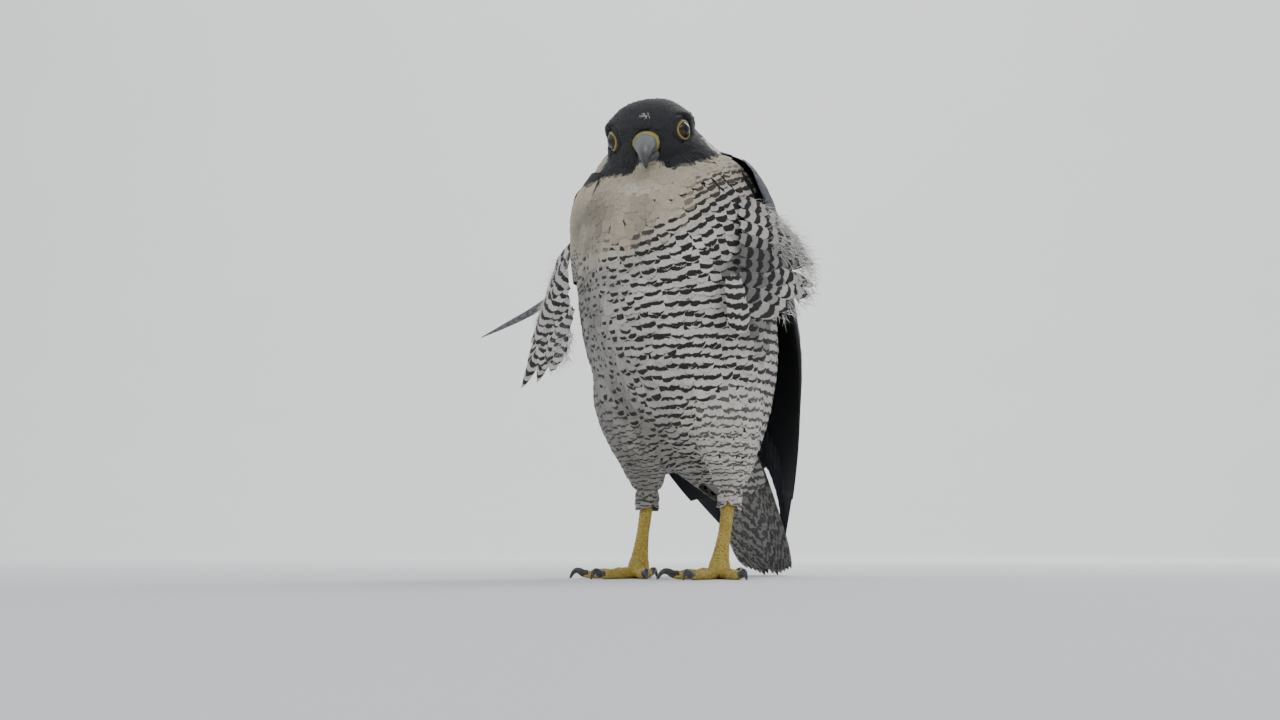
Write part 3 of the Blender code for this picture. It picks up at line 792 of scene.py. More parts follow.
def noise_node(tree, scale, detail=3.0, roughness=0.5):
    """Smooth uneven values over the object's own coordinates."""
    node = tree.nodes.new("ShaderNodeTexNoise")
    node.inputs["Scale"].default_value = scale
    node.inputs["Detail"].default_value = detail
    node.inputs["Roughness"].default_value = roughness
    tree.links.new(tree.nodes.new("ShaderNodeTexCoord").outputs["Object"], node.inputs["Vector"])
    return Wire(tree, node.outputs["Fac"])


def grey(tree, value):
    """One value as a grey colour."""
    node = tree.nodes.new("ShaderNodeCombineColor")
    for socket in node.inputs[:3]:
        link(tree, value, socket)
    return node.outputs[0]


def parts_of(tree, vector):
    """The x, y and z of a vector as numbers."""
    node = tree.nodes.new("ShaderNodeSeparateXYZ")
    link(tree, vector, node.inputs[0])
    return [Wire(tree, socket) for socket in node.outputs]


def new_group(name, kind, inputs, outputs):
    """A node group with inputs of one kind and outputs that are numbers: its tree and its inputs by
    name."""
    tree = bpy.data.node_groups.new(name, "ShaderNodeTree")
    for title in inputs:
        tree.interface.new_socket(name=title, in_out="INPUT", socket_type="NodeSocket" + kind)
    for title in outputs:
        tree.interface.new_socket(name=title, in_out="OUTPUT", socket_type="NodeSocketFloat")
    return tree, tree.nodes.new("NodeGroupInput").outputs


def group_gives(tree, **values):
    """The numbers that a node group puts out."""
    out = tree.nodes.new("NodeGroupOutput")
    for title, value in values.items():
        link(tree, value, out.inputs[title])
    return tree


def use_group(tree, group, **values):
    """Place a group in a tree and feed its inputs. Returns the numbers it gives by name."""
    node = tree.nodes.new("ShaderNodeGroup")
    node.node_tree = group
    for title, value in values.items():
        link(tree, value, node.inputs[title])
    return {socket.name: Wire(tree, socket) for socket in node.outputs}


def vane_pattern():
    """Where a feather's dark bars, shaft, rim and barbs lie, from its vane map and its marks. A bar is
    where the place along the vane, bowed by the square of the place across and made uneven, comes within
    the half thickness of a whole number of pitches from the centre."""
    names = ("Bar", "Shaft", "Rim", "Barbs")
    tree, given = new_group("vane pattern", "Vector", ("Vane", "Bars", "Place"), names)
    vane, bars, place = (parts_of(tree, given[title]) for title in ("Vane", "Bars", "Place"))
    across = (vane[0] * 2.0 - 1.0).math("ABSOLUTE")
    uneven = noise_node(tree, 330.0, 2.0) * 0.14 - 0.07
    turns = (vane[1] - place[0] + across * across * 0.055 + uneven) / bars[2]
    nearest = (turns - turns.math("ROUND")).math("ABSOLUTE") * bars[2]
    half = place[1] * (across * across * -0.45 + 1.08)
    band = step_node(tree, half + 0.016, half - 0.012, nearest)
    limit = bars[1] + uneven * 2.0
    wide = step_node(tree, limit + 0.10, limit - 0.10, across)
    rim = step_node(tree, 0.70, 1.0, across.math("MAXIMUM", vane[1] * 1.6 - 0.6))
    barbs = ((vane[1] * 100.0 + across * -30.0) * 3.14).math("SINE")
    shaft = step_node(tree, 0.07, 0.02, across)
    return group_gives(tree, Bar=band * wide * bars[0], Shaft=shaft, Rim=rim, Barbs=barbs * 0.5 + 0.5)


VANE_PATTERN = vane_pattern()


def shader_of(name, **sockets):
    """A new material whose shader has constants on its named sockets."""
    material = bpy.data.materials.new(name)
    material.use_nodes = True
    tree = material.node_tree
    shader = tree.nodes["Principled BSDF"]
    for title, value in sockets.items():
        shader.inputs[title.replace("_", " ")].default_value = value
    return material, tree, shader


def bump_node(tree, height, strength, distance, shader):
    """A bump from a height into the shader's normal."""
    bump = tree.nodes.new("ShaderNodeBump")
    bump.inputs["Strength"].default_value = strength
    bump.inputs["Distance"].default_value = distance
    link(tree, height, bump.inputs["Height"])
    tree.links.new(bump.outputs[0], shader.inputs["Normal"])


def paint(tree, shader, colour, height, strength, distance):
    """The shader's base colour, and a bump from a height."""
    tree.links.new(colour, shader.inputs["Base Color"])
    bump_node(tree, height, strength, distance, shader)


def attribute(tree, name):
    """The outputs of a named attribute of the piece."""
    node = tree.nodes.new("ShaderNodeAttribute")
    node.attribute_name = name
    return node.outputs


def plumage(name, rim_gain, roughness, sheen, shaft_share=0.25, barb_depth=0.35, bar_colour=BAR_DARK):
    """Feather material: the place's ground colour, dark bars, a shaft, a paler rim, and fine barbs."""
    material, tree, shader = shader_of(name, Roughness=roughness, Sheen_Weight=sheen, Sheen_Roughness=0.5)
    bars, place = attribute(tree, "bars")["Vector"], attribute(tree, "place")["Vector"]
    pattern = use_group(tree, VANE_PATTERN, Vane=uv_map(tree, "vane"), Bars=bars, Place=place)
    tone = parts_of(tree, place)[2] * 0.36 + 0.50 + noise_node(tree, 800.0, 4.0) * 0.64
    tone = tone * (pattern["Barbs"] * 0.22 + 0.87) * (pattern["Rim"] * rim_gain + 1.0)
    colour = mix_node(tree, 1.0, attribute(tree, "ground")["Color"], grey(tree, tone), "MULTIPLY")
    colour = mix_node(tree, pattern["Bar"], colour, bar_colour)
    colour = mix_node(tree, pattern["Shaft"] * shaft_share, colour, bar_colour)
    paint(tree, shader, colour, pattern["Barbs"], barb_depth, 0.0003)
    return material


LIGHT_FEATHER = plumage("barred underpart feathers", 0.10, 0.85, 0.15, 0.08)
SLATE_FEATHER = plumage("slate back feathers", 0.75, 0.65, 0.03, 0.5, 0.35, (0.013, 0.014, 0.018))
HOOD_FEATHER = plumage("hood feathers", 0.12, 0.62, 0.10, 0.1)


def skin_material():
    """Skin under the coat: its own ground colour at each place, darkened and roughened by a fine grain."""
    material, tree, shader = shader_of("skin under the coat", Roughness=0.9)
    grain = noise_node(tree, 1400.0, 4.0) * 0.7 + 0.35
    colour = mix_node(tree, 1.0, attribute(tree, "ground")["Color"], grey(tree, grain), "MULTIPLY")
    paint(tree, shader, colour, grain, 0.4, 0.0005)
    return material


SKIN = skin_material()

# The flesh, with its brow and the hollow before the eye, and the skin under the coat

FLESH = ("head", "neck", "trunk", "thigh_left", "thigh_right")
BROW = ((15.5, -23, 7.5), (19.5, -18.5, 11.0), (22.5, -11.5, 12.5), (24.0, -3, 10.5), (24.0, 4, 7.0))


def face_relief(points):
    """How far the face stands out from the plain head: a rounded ridge along the brow, and a shallow
    hollow between the eye and the bill."""
    q = head_place(points)
    q[:, 0] = np.abs(q[:, 0])
    line = smooth(BROW, np.linspace(0, 1, 24))
    from_brow = np.min(np.linalg.norm(q[:, None, :] - line[None], axis=-1), axis=1)
    hollow = np.linalg.norm((q - (13.5, -19.5, 1.0)) / (1.0, 1.0, 0.9), axis=1)
    cheek = np.linalg.norm((q - (20.0, -8.0, -12.0)) / (1.0, 1.2, 1.0), axis=1)
    ridge = 2.6 * np.exp(-((from_brow / 3.4) ** 2))
    return ridge - 1.4 * np.exp(-((hollow / 4.5) ** 2)) + np.exp(-((cheek / 7) ** 2))


def shape_flesh():
    """The flesh's solids melted into one, with the points of the face moved out by face_relief."""
    points, faces = joined(FLESH, 1.8, 8)
    near = from_head(points) < 42
    normals = point_normals(points, faces)
    points[near] += normals[near] * face_relief(points[near])[:, None]
    return points, faces


flesh_points, flesh_faces = shape_flesh()
flesh_tree = BVHTree.FromPolygons(flesh_points.tolist(), flesh_faces.tolist())


def make_skin():
    """The flesh's outside moved in by the depth of the coat, less on the face, and marked as the coat is,
    then darkened as painted shade where it shows between the feathers."""
    normals = point_normals(flesh_points, flesh_faces)
    face = ease(32, 24, from_head(flesh_points))
    depth = COAT_BODY + (COAT_FACE - COAT_BODY) * face
    points = flesh_points - normals * depth[:, None]
    ground = markings(flesh_points)[0]
    skin = put_mesh("skin", points, flesh_faces, SKIN, None, {"ground": ground * SKIN_PAINTED_SHADE})
    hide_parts(*FLESH)


make_skin()

# Underparts

body = line_shell(flesh_tree, BODY_LINE, 120, 144, 95)
wings = {"left": wing_shell(1), "right": wing_shell(-1)}


def under_wing(p, depth):
    """True where a place lies behind the wing's front edge by more than a depth, and so under the wing."""
    front = smooth(WING_FRONT, np.clip((WRIST_HEIGHT - p[:, 2]) / WING_DROP, 0, 1))
    return (p[:, 1] > front[:, 1] + depth) & (p[:, 2] > WING_CLEAR)


def lie_of(p):
    """Which way underpart feathers point: down, back a little, and outwards on the breast's left side."""
    tilt = 0.08 + 0.55 * ease(200, 240, p[:, 2]) * ease(0, 40, p[:, 0]) + 0.0022 * p[:, 0]
    return stacked(tilt, 0.15 + 0.5 * ease(100, 70, p[:, 2]), -np.ones(len(p)))


def underparts():
    """Feathers of the belly, breast and throat in rows round the body. They shorten towards the neck and
    lie flat on the bib, and their rows climb with its edge."""
    a, b = lattice(body, 0.02, 0.975, lambda b: 5.4 - 2.8 * ease(0.55, 0.85, b),
                   lambda b: 7.0 - 3.6 * ease(0.55, 0.88, b))
    p = body.place(a, b)
    b = np.clip(b + slant(p) / np.linalg.norm(body.read(body.along, a, b), axis=-1), 0, 1)
    p = body.place(a, b)
    depth = 14 - 11 * ease(220, 232, p[:, 2]) * (p[:, 0] > 0)
    keep = ~under_wing(p, depth) & (b > 0.01) & (b < 0.985)
    keep &= (head_place(p)[:, 2] < -13) | (from_head(p) > 38)
    a, b, p = a[keep], b[keep], p[keep]
    count = len(p)
    small = ease(-8, 10, p[:, 2] - bib_edge(p[:, 0]))
    neck = np.maximum(ease(80, 44, from_head(p)), ease(205, 235, p[:, 2]))
    length = (17.0 - 3.0 * small - 4.0 * neck) * varied(count, 0.08)
    width = (11.0 - 2.5 * small - 2.6 * neck) * varied(count, 0.08)
    rise = 0.075 - 0.040 * small + 0.012 * RANDOM.normal(0, 1, count)
    hood = hood_share(p) * ease(52, 44, from_head(p))
    length, width = length * (1 - 0.45 * hood), width * (1 - 0.45 * hood)
    points, maps = lay(body, a, b, length, width, lie_of(p), grid=(9, 10), rise=rise, sit=0.2, camber=0.04,
                       ragged=0.16, jitter=6)
    marks = markings(p, length)
    high = (p[:, 2] > bib_edge(p[:, 0]) + 8)[:, None]
    outer = markings(points[:, 5, 5])[0]
    return points, maps, (np.where(high, outer, marks[0]), marks[1], marks[2])


coat("coat_underparts", [underparts()], LIGHT_FEATHER)


def trousers(sign):
    """Feathers of the thigh, finely barred, that end in a loose fringe over the top of the bare shank."""
    line = [(x * sign, y, z, lift) for x, y, z, lift in THIGH_LINE]
    thigh = line_shell(flesh_tree, line, 80, 72, 30, (3, 3), SHANK_RADIUS)
    a, b = lattice(thigh, 0.20, 0.93, lambda b: 4.6, lambda b: 5.0)
    p = thigh.place(a, b)
    keep = np.linalg.norm(p - smooth(line, b)[:, :3], axis=1) < THIGH_REACH
    a, b, p = a[keep], b[keep], p[keep]
    lie = stacked(0 * a, 0.10 + 0 * a, -1 + 0 * a)
    length = 13 + 3 * RANDOM.random(len(a))
    points, maps = lay(thigh, a, b, length, 9.0, lie, grid=(8, 6), rise=0.09, sit=0.2, camber=0.08,
                       ragged=0.12, jitter=7)
    ground, bars, place = markings(p, length)
    bars[:, 0], bars[:, 1] = 0.85, 0.85
    bars[:, 2] *= 0.8
    place[:, 1] *= 0.7
    return points, maps, (ground, bars, place)


for side, sign in SIDES:
    coat(f"coat_thigh_{side}", [trousers(sign)], LIGHT_FEATHER)

# Head

skull = head_shell(flesh_tree, 80, 120)


def head_feathers():
    """Tiny feathers from the bill back over the head, longer towards the nape and down the moustache.
    They part round the eyes."""
    a, b = lattice(skull, 0.01, 0.96, lambda b: 0.85 + 1.5 * b, lambda b: 1.1 + 1.5 * b)
    p = skull.place(a, b)
    q = head_place(p)
    mirror = stacked(np.abs(q[:, 0]), q[:, 1], q[:, 2]) - EYE_PLACE
    near_eye = np.linalg.norm(mirror, axis=1)
    keep = (from_head(p) < HEAD_REACH) & (near_eye > EYE_CLEAR) & (q[:, 1] < HEAD_BACK)
    keep &= ~((np.hypot(q[:, 0] / 8.1, (q[:, 2] + 1.5) / 8.0) < 1) & (q[:, 1] < -15))
    a, b, p, q, near_eye = a[keep], b[keep], p[keep], q[keep], near_eye[keep]
    away = unit(mirror[keep]) * stacked(np.sign(q[:, 0]), 1 + 0 * q[:, 0], 1 + 0 * q[:, 0])
    lie = stacked(0 * b, 1 + 0 * b, -0.35 - 0.9 * ease(2, -14, q[:, 2]))
    lie = (lie + 1.3 * away * ease(13, 8.5, near_eye)[:, None]) @ HEAD_TURN.T
    length = (2.6 + 5.0 * b) * varied(len(a), 0.15) * (0.55 + 0.45 * ease(8, 13, near_eye))
    width = (1.25 + 2.0 * b) * varied(len(a), 0.10)
    rise = 0.10 + 0.04 * RANDOM.normal(0, 1, len(a))
    puff = 0.2 + 2.2 * ease(2, -9, q[:, 2]) * ease(-18, -8, q[:, 1]) * ease(8, 17, np.abs(q[:, 0]))
    low = ease(-6, -13, q[:, 2])
    length, width = length * (1 - 0.42 * low), width * (1 + 0.35 * low)
    points, maps = lay(skull, a, b, length, width, lie, grid=(5, 4), rise=rise, sit=puff, camber=0.10,
                       point=0.75 - 0.45 * low, jitter=8.0, ragged=0.15)
    return points, maps, unbarred(points[:, 3, 1], lambda tone: tone)


coat("coat_head", [head_feathers()], HOOD_FEATHER)

# Eyes and lids

EYE_AXIS = unit(np.array([0.90, -0.43, 0.06]))


def eye_frame():
    """Directions of the left eye in the head's frame: outwards, ahead and up."""
    ahead = unit(np.cross(EYE_AXIS, (0.0, 0.0, 1.0)))
    ahead = ahead * np.sign(-ahead[1])
    up = unit(np.cross(ahead, EYE_AXIS))
    return EYE_AXIS, ahead, up * np.sign(up[2])


def eye_points(polar, turn, radius, sign):
    """Places about the eye by the angle from its axis, the turn from ahead to up, and the radius."""
    out, ahead, up = eye_frame()
    around = ahead * np.cos(turn)[..., None] + up * np.sin(turn)[..., None]
    q = EYE_PLACE + (out * np.cos(polar)[..., None] + around * np.sin(polar)[..., None]) * radius[..., None]
    return bird_place(q * (sign, 1, 1))


def eye_material():
    """A nearly black brown iris with fine rays about a black pupil, under a clear wet surface."""
    material, tree, shader = shader_of("dark brown eye", Roughness=0.3, Specular_IOR_Level=0.1,
                                       Coat_Weight=0.7, Coat_Roughness=0.02)
    spot = parts_of(tree, uv_map(tree, "gaze"))
    grain = (spot[0] * (2 * math.pi * IRIS_RAYS)).math("SINE") * 0.25 + noise_node(tree, 1800.0, 3.0)
    iris = mix_node(tree, grain, (0.010, 0.005, 0.003), (0.036, 0.017, 0.009))
    iris = mix_node(tree, step_node(tree, 0.26, 0.30, spot[1]), iris, (0.006, 0.004, 0.004))
    colour = mix_node(tree, step_node(tree, 0.135, 0.12, spot[1]), iris, (0.002, 0.002, 0.002))
    tree.links.new(colour, shader.inputs["Base Color"])
    return material


def make_eye(side, sign, material):
    """An eyeball whose radius swells towards its axis by a bell curve, the bulge of its cornea."""
    polar = np.linspace(0.0, math.pi, 40)[:, None]
    turn = full_turn(64)[None, :]
    radius = EYE_RADIUS + CORNEA_RISE * np.exp(-((polar / CORNEA_WIDTH) ** 2))
    polar, turn, radius = np.broadcast_arrays(polar, turn, radius)
    points = eye_points(polar, turn, radius, sign)
    faces = ring_faces(*polar.shape)
    faces = faces if sign > 0 else faces[:, ::-1]
    gaze = stacked(turn / (2 * np.pi), polar / math.pi)
    eye = put_mesh(f"eyeball_{side}", points, faces, material, {"gaze": gaze})
    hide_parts(f"eye_{side}")


def creased_skin():
    """Bare skin's tone, blotches and pores added and cut by an S-curve, and the pores' own height."""
    tree, given = new_group("creased skin", "Float", ("Low", "High"), ("Tone", "Pores"))
    pores = noise_node(tree, 900.0, 5.0, 0.6)
    both = pores * 0.6 + noise_node(tree, 160.0, 4.0) * 0.5
    return group_gives(tree, Tone=step_node(tree, given["Low"], given["High"], both), Pores=pores)


CREASED_SKIN = creased_skin()


def skin_of_face(name, colour, deep, roughness):
    """Bare skin: a mottled colour with fine creases and pores."""
    material, tree, shader = shader_of(name, Roughness=roughness, Subsurface_Weight=0.08,
                                       Subsurface_Scale=0.001)
    effect = use_group(tree, CREASED_SKIN, Low=0.35, High=0.75)
    paint(tree, shader, mix_node(tree, effect["Tone"], deep, colour), effect["Pores"], 0.5, 0.0002)
    return material


def make_lids(side, sign, ring_skin, dark_skin):
    """The yellow rim of the lids, a bead whose opening is an almond a little flattened by the brow, then
    the dark skin that runs from it out under the feathers. Both are rings about the eye's axis."""
    turn = full_turn(96)[None, :]
    flattened = LID_BROW * np.clip(np.sin(turn), 0, 1) ** 1.5
    opening = np.radians(LID_OPENING + LID_CORNERS * np.cos(turn) ** 4 - flattened)
    v = np.linspace(0, 1, 13)[:, None]
    crease = 0.06 * np.sin(turn * 36 + 3 * np.sin(turn * 5)) * np.sin(np.pi * v)
    polar = opening + np.radians(RIM_BREADTH) * v + 0 * turn
    radius = EYE_RADIUS + 0.15 + 0.70 * np.sin(np.pi * np.clip(v * 0.9 + 0.08, 0, 1)) ** 0.8 + crease
    ring = eye_points(polar, turn + 0 * v, radius, sign)
    faces = ring_faces(*polar.shape)
    faces = faces if sign > 0 else faces[:, ::-1]
    put_mesh(f"lid_rim_{side}", ring, faces, ring_skin)
    fold = 0.10 * np.sin(turn * 22 + 2 * np.sin(turn * 3)) * np.sin(np.pi * v)
    polar = opening + np.radians(DARK_START) + np.radians(DARK_BREADTH) * v + 0 * turn
    radius = EYE_RADIUS + 0.35 + 0.75 * np.sin(np.pi * v**0.7) * 0.6 + 0.3 * v + fold
    skin = eye_points(polar, turn + 0 * v, radius, sign)
    put_mesh(f"lid_skin_{side}", skin, faces, dark_skin)


# Cere and bill

def rings_along(stations, rows, columns, square):
    """Rings about the head's midline from rows of place back, place up, half width and half depth, square
    to that line. Each ring is a little squared ellipse; turn 0 is its top. Also gives v, turn and up."""
    v = np.linspace(0, 1, rows)
    line = smooth(stations, v)
    way = unit(np.gradient(line[:, :2], axis=0))
    up = stacked(0 * v, way[:, 1], -way[:, 0])
    up = up * np.sign(up[:, 2:3] + 1e-6)
    turn = full_turn(columns)
    wide = np.sign(np.sin(turn)) * np.abs(np.sin(turn)) ** square
    high = np.sign(np.cos(turn)) * np.abs(np.cos(turn)) ** square
    middle = stacked(0 * v, line[:, 0], line[:, 1])
    points = middle[:, None, :] + up[:, None, :] * (line[:, 3, None] * high)[..., None]
    points[..., 0] += line[:, 2, None] * wide
    return points, v[:, None], turn[None, :], up


NOSTRIL = np.array([7.4, -24.0, 0.6])


def make_cere(skin):
    """The swollen cere, with a round nostril on each side: a pit with a raised rim and a small peg in
    it."""
    points, v, turn, _ = rings_along(CERE, 60, 160, 0.9)
    mirror = points.copy()
    mirror[..., 0] = np.abs(mirror[..., 0])
    middle = np.array([0.0, -22.0, -1.0])
    outward = unit(points - middle)
    to_nostril = np.linalg.norm(mirror - NOSTRIL, axis=-1)
    nearest = mirror[np.unravel_index(np.argmin(to_nostril), to_nostril.shape)]
    far = np.linalg.norm(mirror - nearest, axis=-1)
    swell = 0.35 * np.exp(-((far / 3.6) ** 2)) + 0.3 * np.exp(-((far - 1.9) / 0.5) ** 2)
    pit = -1.0 * ease(1.35, 0.95, far) + 0.8 * ease(0.5, 0.2, far)
    fold = 0.10 * np.sin(v * 26 + 1.5 * np.cos(turn * 2)) * np.abs(np.sin(turn))
    points = points + outward * (swell + pit + fold)[..., None]
    # Painted shade in each nostril's pit, round its peg.
    nostril_painted_shade = stacked(ease(1.7, 0.9, far) * (1 - ease(0.6, 0.3, far)), 0 * far, 0 * far)
    faces = facing_out(points)
    cere = put_mesh("cere_swollen", bird_place(points), faces, skin, None, {"pit": nostril_painted_shade})
    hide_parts("cere")


def facing_out(points):
    """The quads of a closed ring of places, turned round if they look towards its middle."""
    faces = ring_faces(*points.shape[:2])
    flat = points.reshape(-1, 3)
    corner = flat[faces]
    normal = np.cross(corner[:, 1] - corner[:, 0], corner[:, 2] - corner[:, 1])
    inward = np.sum(normal * (corner.mean(1) - flat.mean(0))) < 0
    return faces[:, ::-1] if inward else faces


def cere_material():
    """Yellow waxy skin with blotches, a fine grain, and painted shade in the nostrils' pits."""
    material, tree, shader = shader_of("yellow cere", Roughness=0.42, Subsurface_Weight=0.10,
                                       Subsurface_Scale=0.001)
    grain = noise_node(tree, 700.0, 5.0, 0.6)
    blotch = noise_node(tree, 130.0, 3.0)
    colour = mix_node(tree, step_node(tree, 0.3, 0.75, blotch), (0.34, 0.30, 0.07), (0.50, 0.44, 0.14))
    colour = mix_node(tree, grain * 0.35, colour, (0.30, 0.25, 0.07))
    # The nostrils' pits darkened: painted shade.
    pit = parts_of(tree, attribute(tree, "pit")["Vector"])[0]
    colour = mix_node(tree, pit, colour, (0.02, 0.015, 0.01))
    paint(tree, shader, colour, grain, 0.35, 0.0002)
    return material


def horn_growth():
    """Horn's tip share along its length, made uneven by noise, its growth lines (a sine of the length),
    its scratches (noise) and the height of both."""
    tree, given = new_group("horn growth", "Vector", ("Length",), ("Tip", "Lines", "Scratches", "Height"))
    along = parts_of(tree, given["Length"])[1]
    lines = (along * 190.0).math("SINE")
    scratches = noise_node(tree, 900.0, 4.0)
    tip = step_node(tree, 0.25, 0.80, along + noise_node(tree, 240.0) * 0.3 - 0.15)
    return group_gives(tree, Tip=tip, Lines=lines * 0.03 + 0.05, Scratches=scratches * 0.18,
                       Height=lines * 0.08 + scratches)


HORN_GROWTH = horn_growth()


def horn(name, base, tip):
    """Horn that darkens along its length, with fine growth lines and long scratches."""
    material, tree, shader = shader_of(name, Roughness=0.30, Coat_Weight=0.25, Coat_Roughness=0.2)
    effect = use_group(tree, HORN_GROWTH, Length=uv_map(tree, "length"))
    colour = mix_node(tree, effect["Tip"], base, tip)
    colour = mix_node(tree, effect["Lines"], colour, tip)
    colour = mix_node(tree, effect["Scratches"], colour, (0.25, 0.25, 0.24))
    paint(tree, shader, colour, effect["Height"], 0.22, 0.0002)
    return material


def make_bill(material):
    """The upper half: rings that shrink to the hook, a ridge along the top, and on each edge below a
    tooth with a notch behind it. The lower half: a short trough that closes under it."""
    points, v, turn, up = rings_along(BILL_UPPER, 90, 96, 0.88)
    below = np.exp(-(((np.abs(turn - np.pi) - 0.95) / 0.38) ** 2))
    tooth = 1.5 * np.exp(-(((v - 0.52) / 0.055) ** 2)) - 0.7 * np.exp(-(((v - 0.64) / 0.05) ** 2))
    tooth = tooth + 0.5 * np.exp(-(((v - 0.12) / 0.12) ** 2))
    points = points - up[:, None, :] * (below * tooth)[..., None]
    culmen = np.exp(-((np.minimum(turn, 2 * np.pi - turn) / 0.35) ** 2)) * (1 - v)
    points = points + up[:, None, :] * (0.5 * culmen)[..., None]
    hollow = np.exp(-(((turn - np.pi) / 0.55) ** 2)) * 1.2 * np.sin(np.pi * np.clip(v, 0, 1))
    points = points + up[:, None, :] * hollow[..., None]
    closed_bill("bill_hook", points, v, turn, material, "bill_upper")
    points, v, turn, _ = rings_along(BILL_LOWER, 40, 64, 0.9)
    closed_bill("bill_trough", points, v, turn, material, "bill_lower")


def closed_bill(name, points, v, turn, material, node):
    """A tapering tube with both ends drawn in to their middles."""
    ends = np.repeat(points[[0, -1]].mean(axis=1, keepdims=True), points.shape[1], axis=1)
    points = np.concatenate([ends[:1], points, ends[1:]])
    share = np.concatenate([[[0.0]], v, [[1.0]]])
    spots = stacked(turn / (2 * np.pi), share)
    bill = put_mesh(name, bird_place(points), facing_out(points), material, {"length": spots})
    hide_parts(node)


def tube(line, radius, sides=10):
    """A round tube along a line of places, with a radius at each, its ends drawn in."""
    line = np.asarray(line, float)
    way = unit(np.gradient(line, axis=0))
    side = unit(np.cross(way, (0.0, 0.02, 1.0)))
    up = np.cross(side, way)
    turn = full_turn(sides)
    ring = side[:, None, :] * np.cos(turn)[None, :, None] + up[:, None, :] * np.sin(turn)[None, :, None]
    points = line[:, None, :] + ring * np.broadcast_to(radius, len(line))[:, None, None]
    ends = np.repeat(points[[0, -1]].mean(axis=1, keepdims=True), sides, axis=1)
    return np.concatenate([ends[:1], points, ends[1:]])


GAPE = ((8.4, -24.0, -5.6), (9.6, -20.5, -6.6), (11.2, -16.5, -7.6), (13.0, -12.5, -8.2))


def make_gape(side, sign, skin):
    """The yellow fold at the corner of the mouth: a slim tube back from the bill."""
    line = smooth(GAPE, np.linspace(0, 1, 16)) * (sign, 1, 1)
    points = tube(line, 0.9 * np.sin(np.linspace(0.35, 2.6, 16)))
    put_mesh(f"gape_{side}", bird_place(points), facing_out(points), skin)


def bristles():
    """Fine dark bristles of the lores that lean back from the bill's base over the cere's edge."""
    count = BRISTLES
    turn = RANDOM.uniform(-2.5, 2.5, count)
    back = RANDOM.uniform(-20.5, -17.0, count)
    wide = 8.3 + 0.30 * (back + 20)
    q = stacked(wide * np.sin(turn), back, -1.4 + 0.9 * wide * np.cos(turn))
    way = unit(stacked(np.sin(turn) * 0.9, RANDOM.uniform(-0.7, 0.6, count), np.cos(turn) * 0.6))
    ways = unit(way + RANDOM.normal(0, 0.15, way.shape)) @ HEAD_TURN.T
    points, maps = wisps(bird_place(q), ways, RANDOM.uniform(1.8, 3.6, count), 0.34, 0.25, 4)
    return points, maps, plain_marks(count, HOOD, 0.5)


def lid_feathers(sign):
    """The smallest feathers, in rings over the lids' dark skin: they point away from the eye and back.
    The rings lie on a cup about the eye that swells into an overhanging brow above it."""
    b = np.linspace(0, 1, 24)[:, None]
    turn = full_turn(72)[None, :]
    over = np.clip(np.sin(turn + 0.25), 0, 1) ** 1.3
    polar = np.radians(59 + 50 * b - 5 * over * (1 - b))
    radius = EYE_RADIUS + 0.55 + 1.5 * b + over * (1.5 * np.sin(np.pi * np.clip(b * 0.9 + 0.12, 0, 1)))
    points = eye_points(polar, turn + 0 * b, radius, sign)
    shell = Shell(points, True, points - bird_place(EYE_PLACE * (sign, 1, 1)))
    a, b = lattice(shell, 0.05, 0.85, lambda b: 0.75, lambda b: 1.0)
    lie = unit(shell.read(shell.along, a, b)) + 0.5 * (HEAD_TURN @ np.array([0.0, 1.0, -0.2]))
    points, maps = lay(shell, a, b, 2.6, 1.3, lie, grid=(5, 4), rise=0.05, sit=0.1, camber=0.10, point=0.6,
                       jitter=9.0, ragged=0.15)
    return points, maps, unbarred(shell.place(a, b), lambda tone: 0.4)


def forehead_fleck():
    """A stray scrap of pale down caught on the forehead."""
    count = FLECK_STRANDS
    q = np.array([1.5, -18.6, 15.6]) + RANDOM.normal(0, 1, (count, 3)) * (1.3, 0.5, 0.7)
    ways = unit(RANDOM.normal(0, 1, (count, 3)) + (-0.9, -0.6, 0.5)) @ HEAD_TURN.T
    points, maps = wisps(bird_place(q), ways, RANDOM.uniform(1.8, 3.4, count), 0.55, 0.5, 6)
    return points, maps, plain_marks(count, (0.75, 0.73, 0.70), 0.9)


yellow_rim = skin_of_face("yellow lid rim", (0.46, 0.36, 0.07), (0.26, 0.20, 0.05), 0.45)
dark_lid = skin_of_face("dark skin round the eye", (0.040, 0.038, 0.036), (0.014, 0.013, 0.014), 0.6)
cere_skin = cere_material()
bill_horn = horn("blue grey bill horn", (0.19, 0.20, 0.19), (0.030, 0.031, 0.034))
wet_eye = eye_material()
for side, sign in SIDES:
    make_eye(side, sign, wet_eye)
    make_lids(side, sign, yellow_rim, dark_lid)
    make_gape(side, sign, yellow_rim)
make_cere(cere_skin)
make_bill(bill_horn)
coat("coat_lores", [bristles()], HOOD_FEATHER)
coat("coat_lids", [lid_feathers(1), lid_feathers(-1)], HOOD_FEATHER)
coat("down_on_forehead", [forehead_fleck()], LIGHT_FEATHER)


# Wings

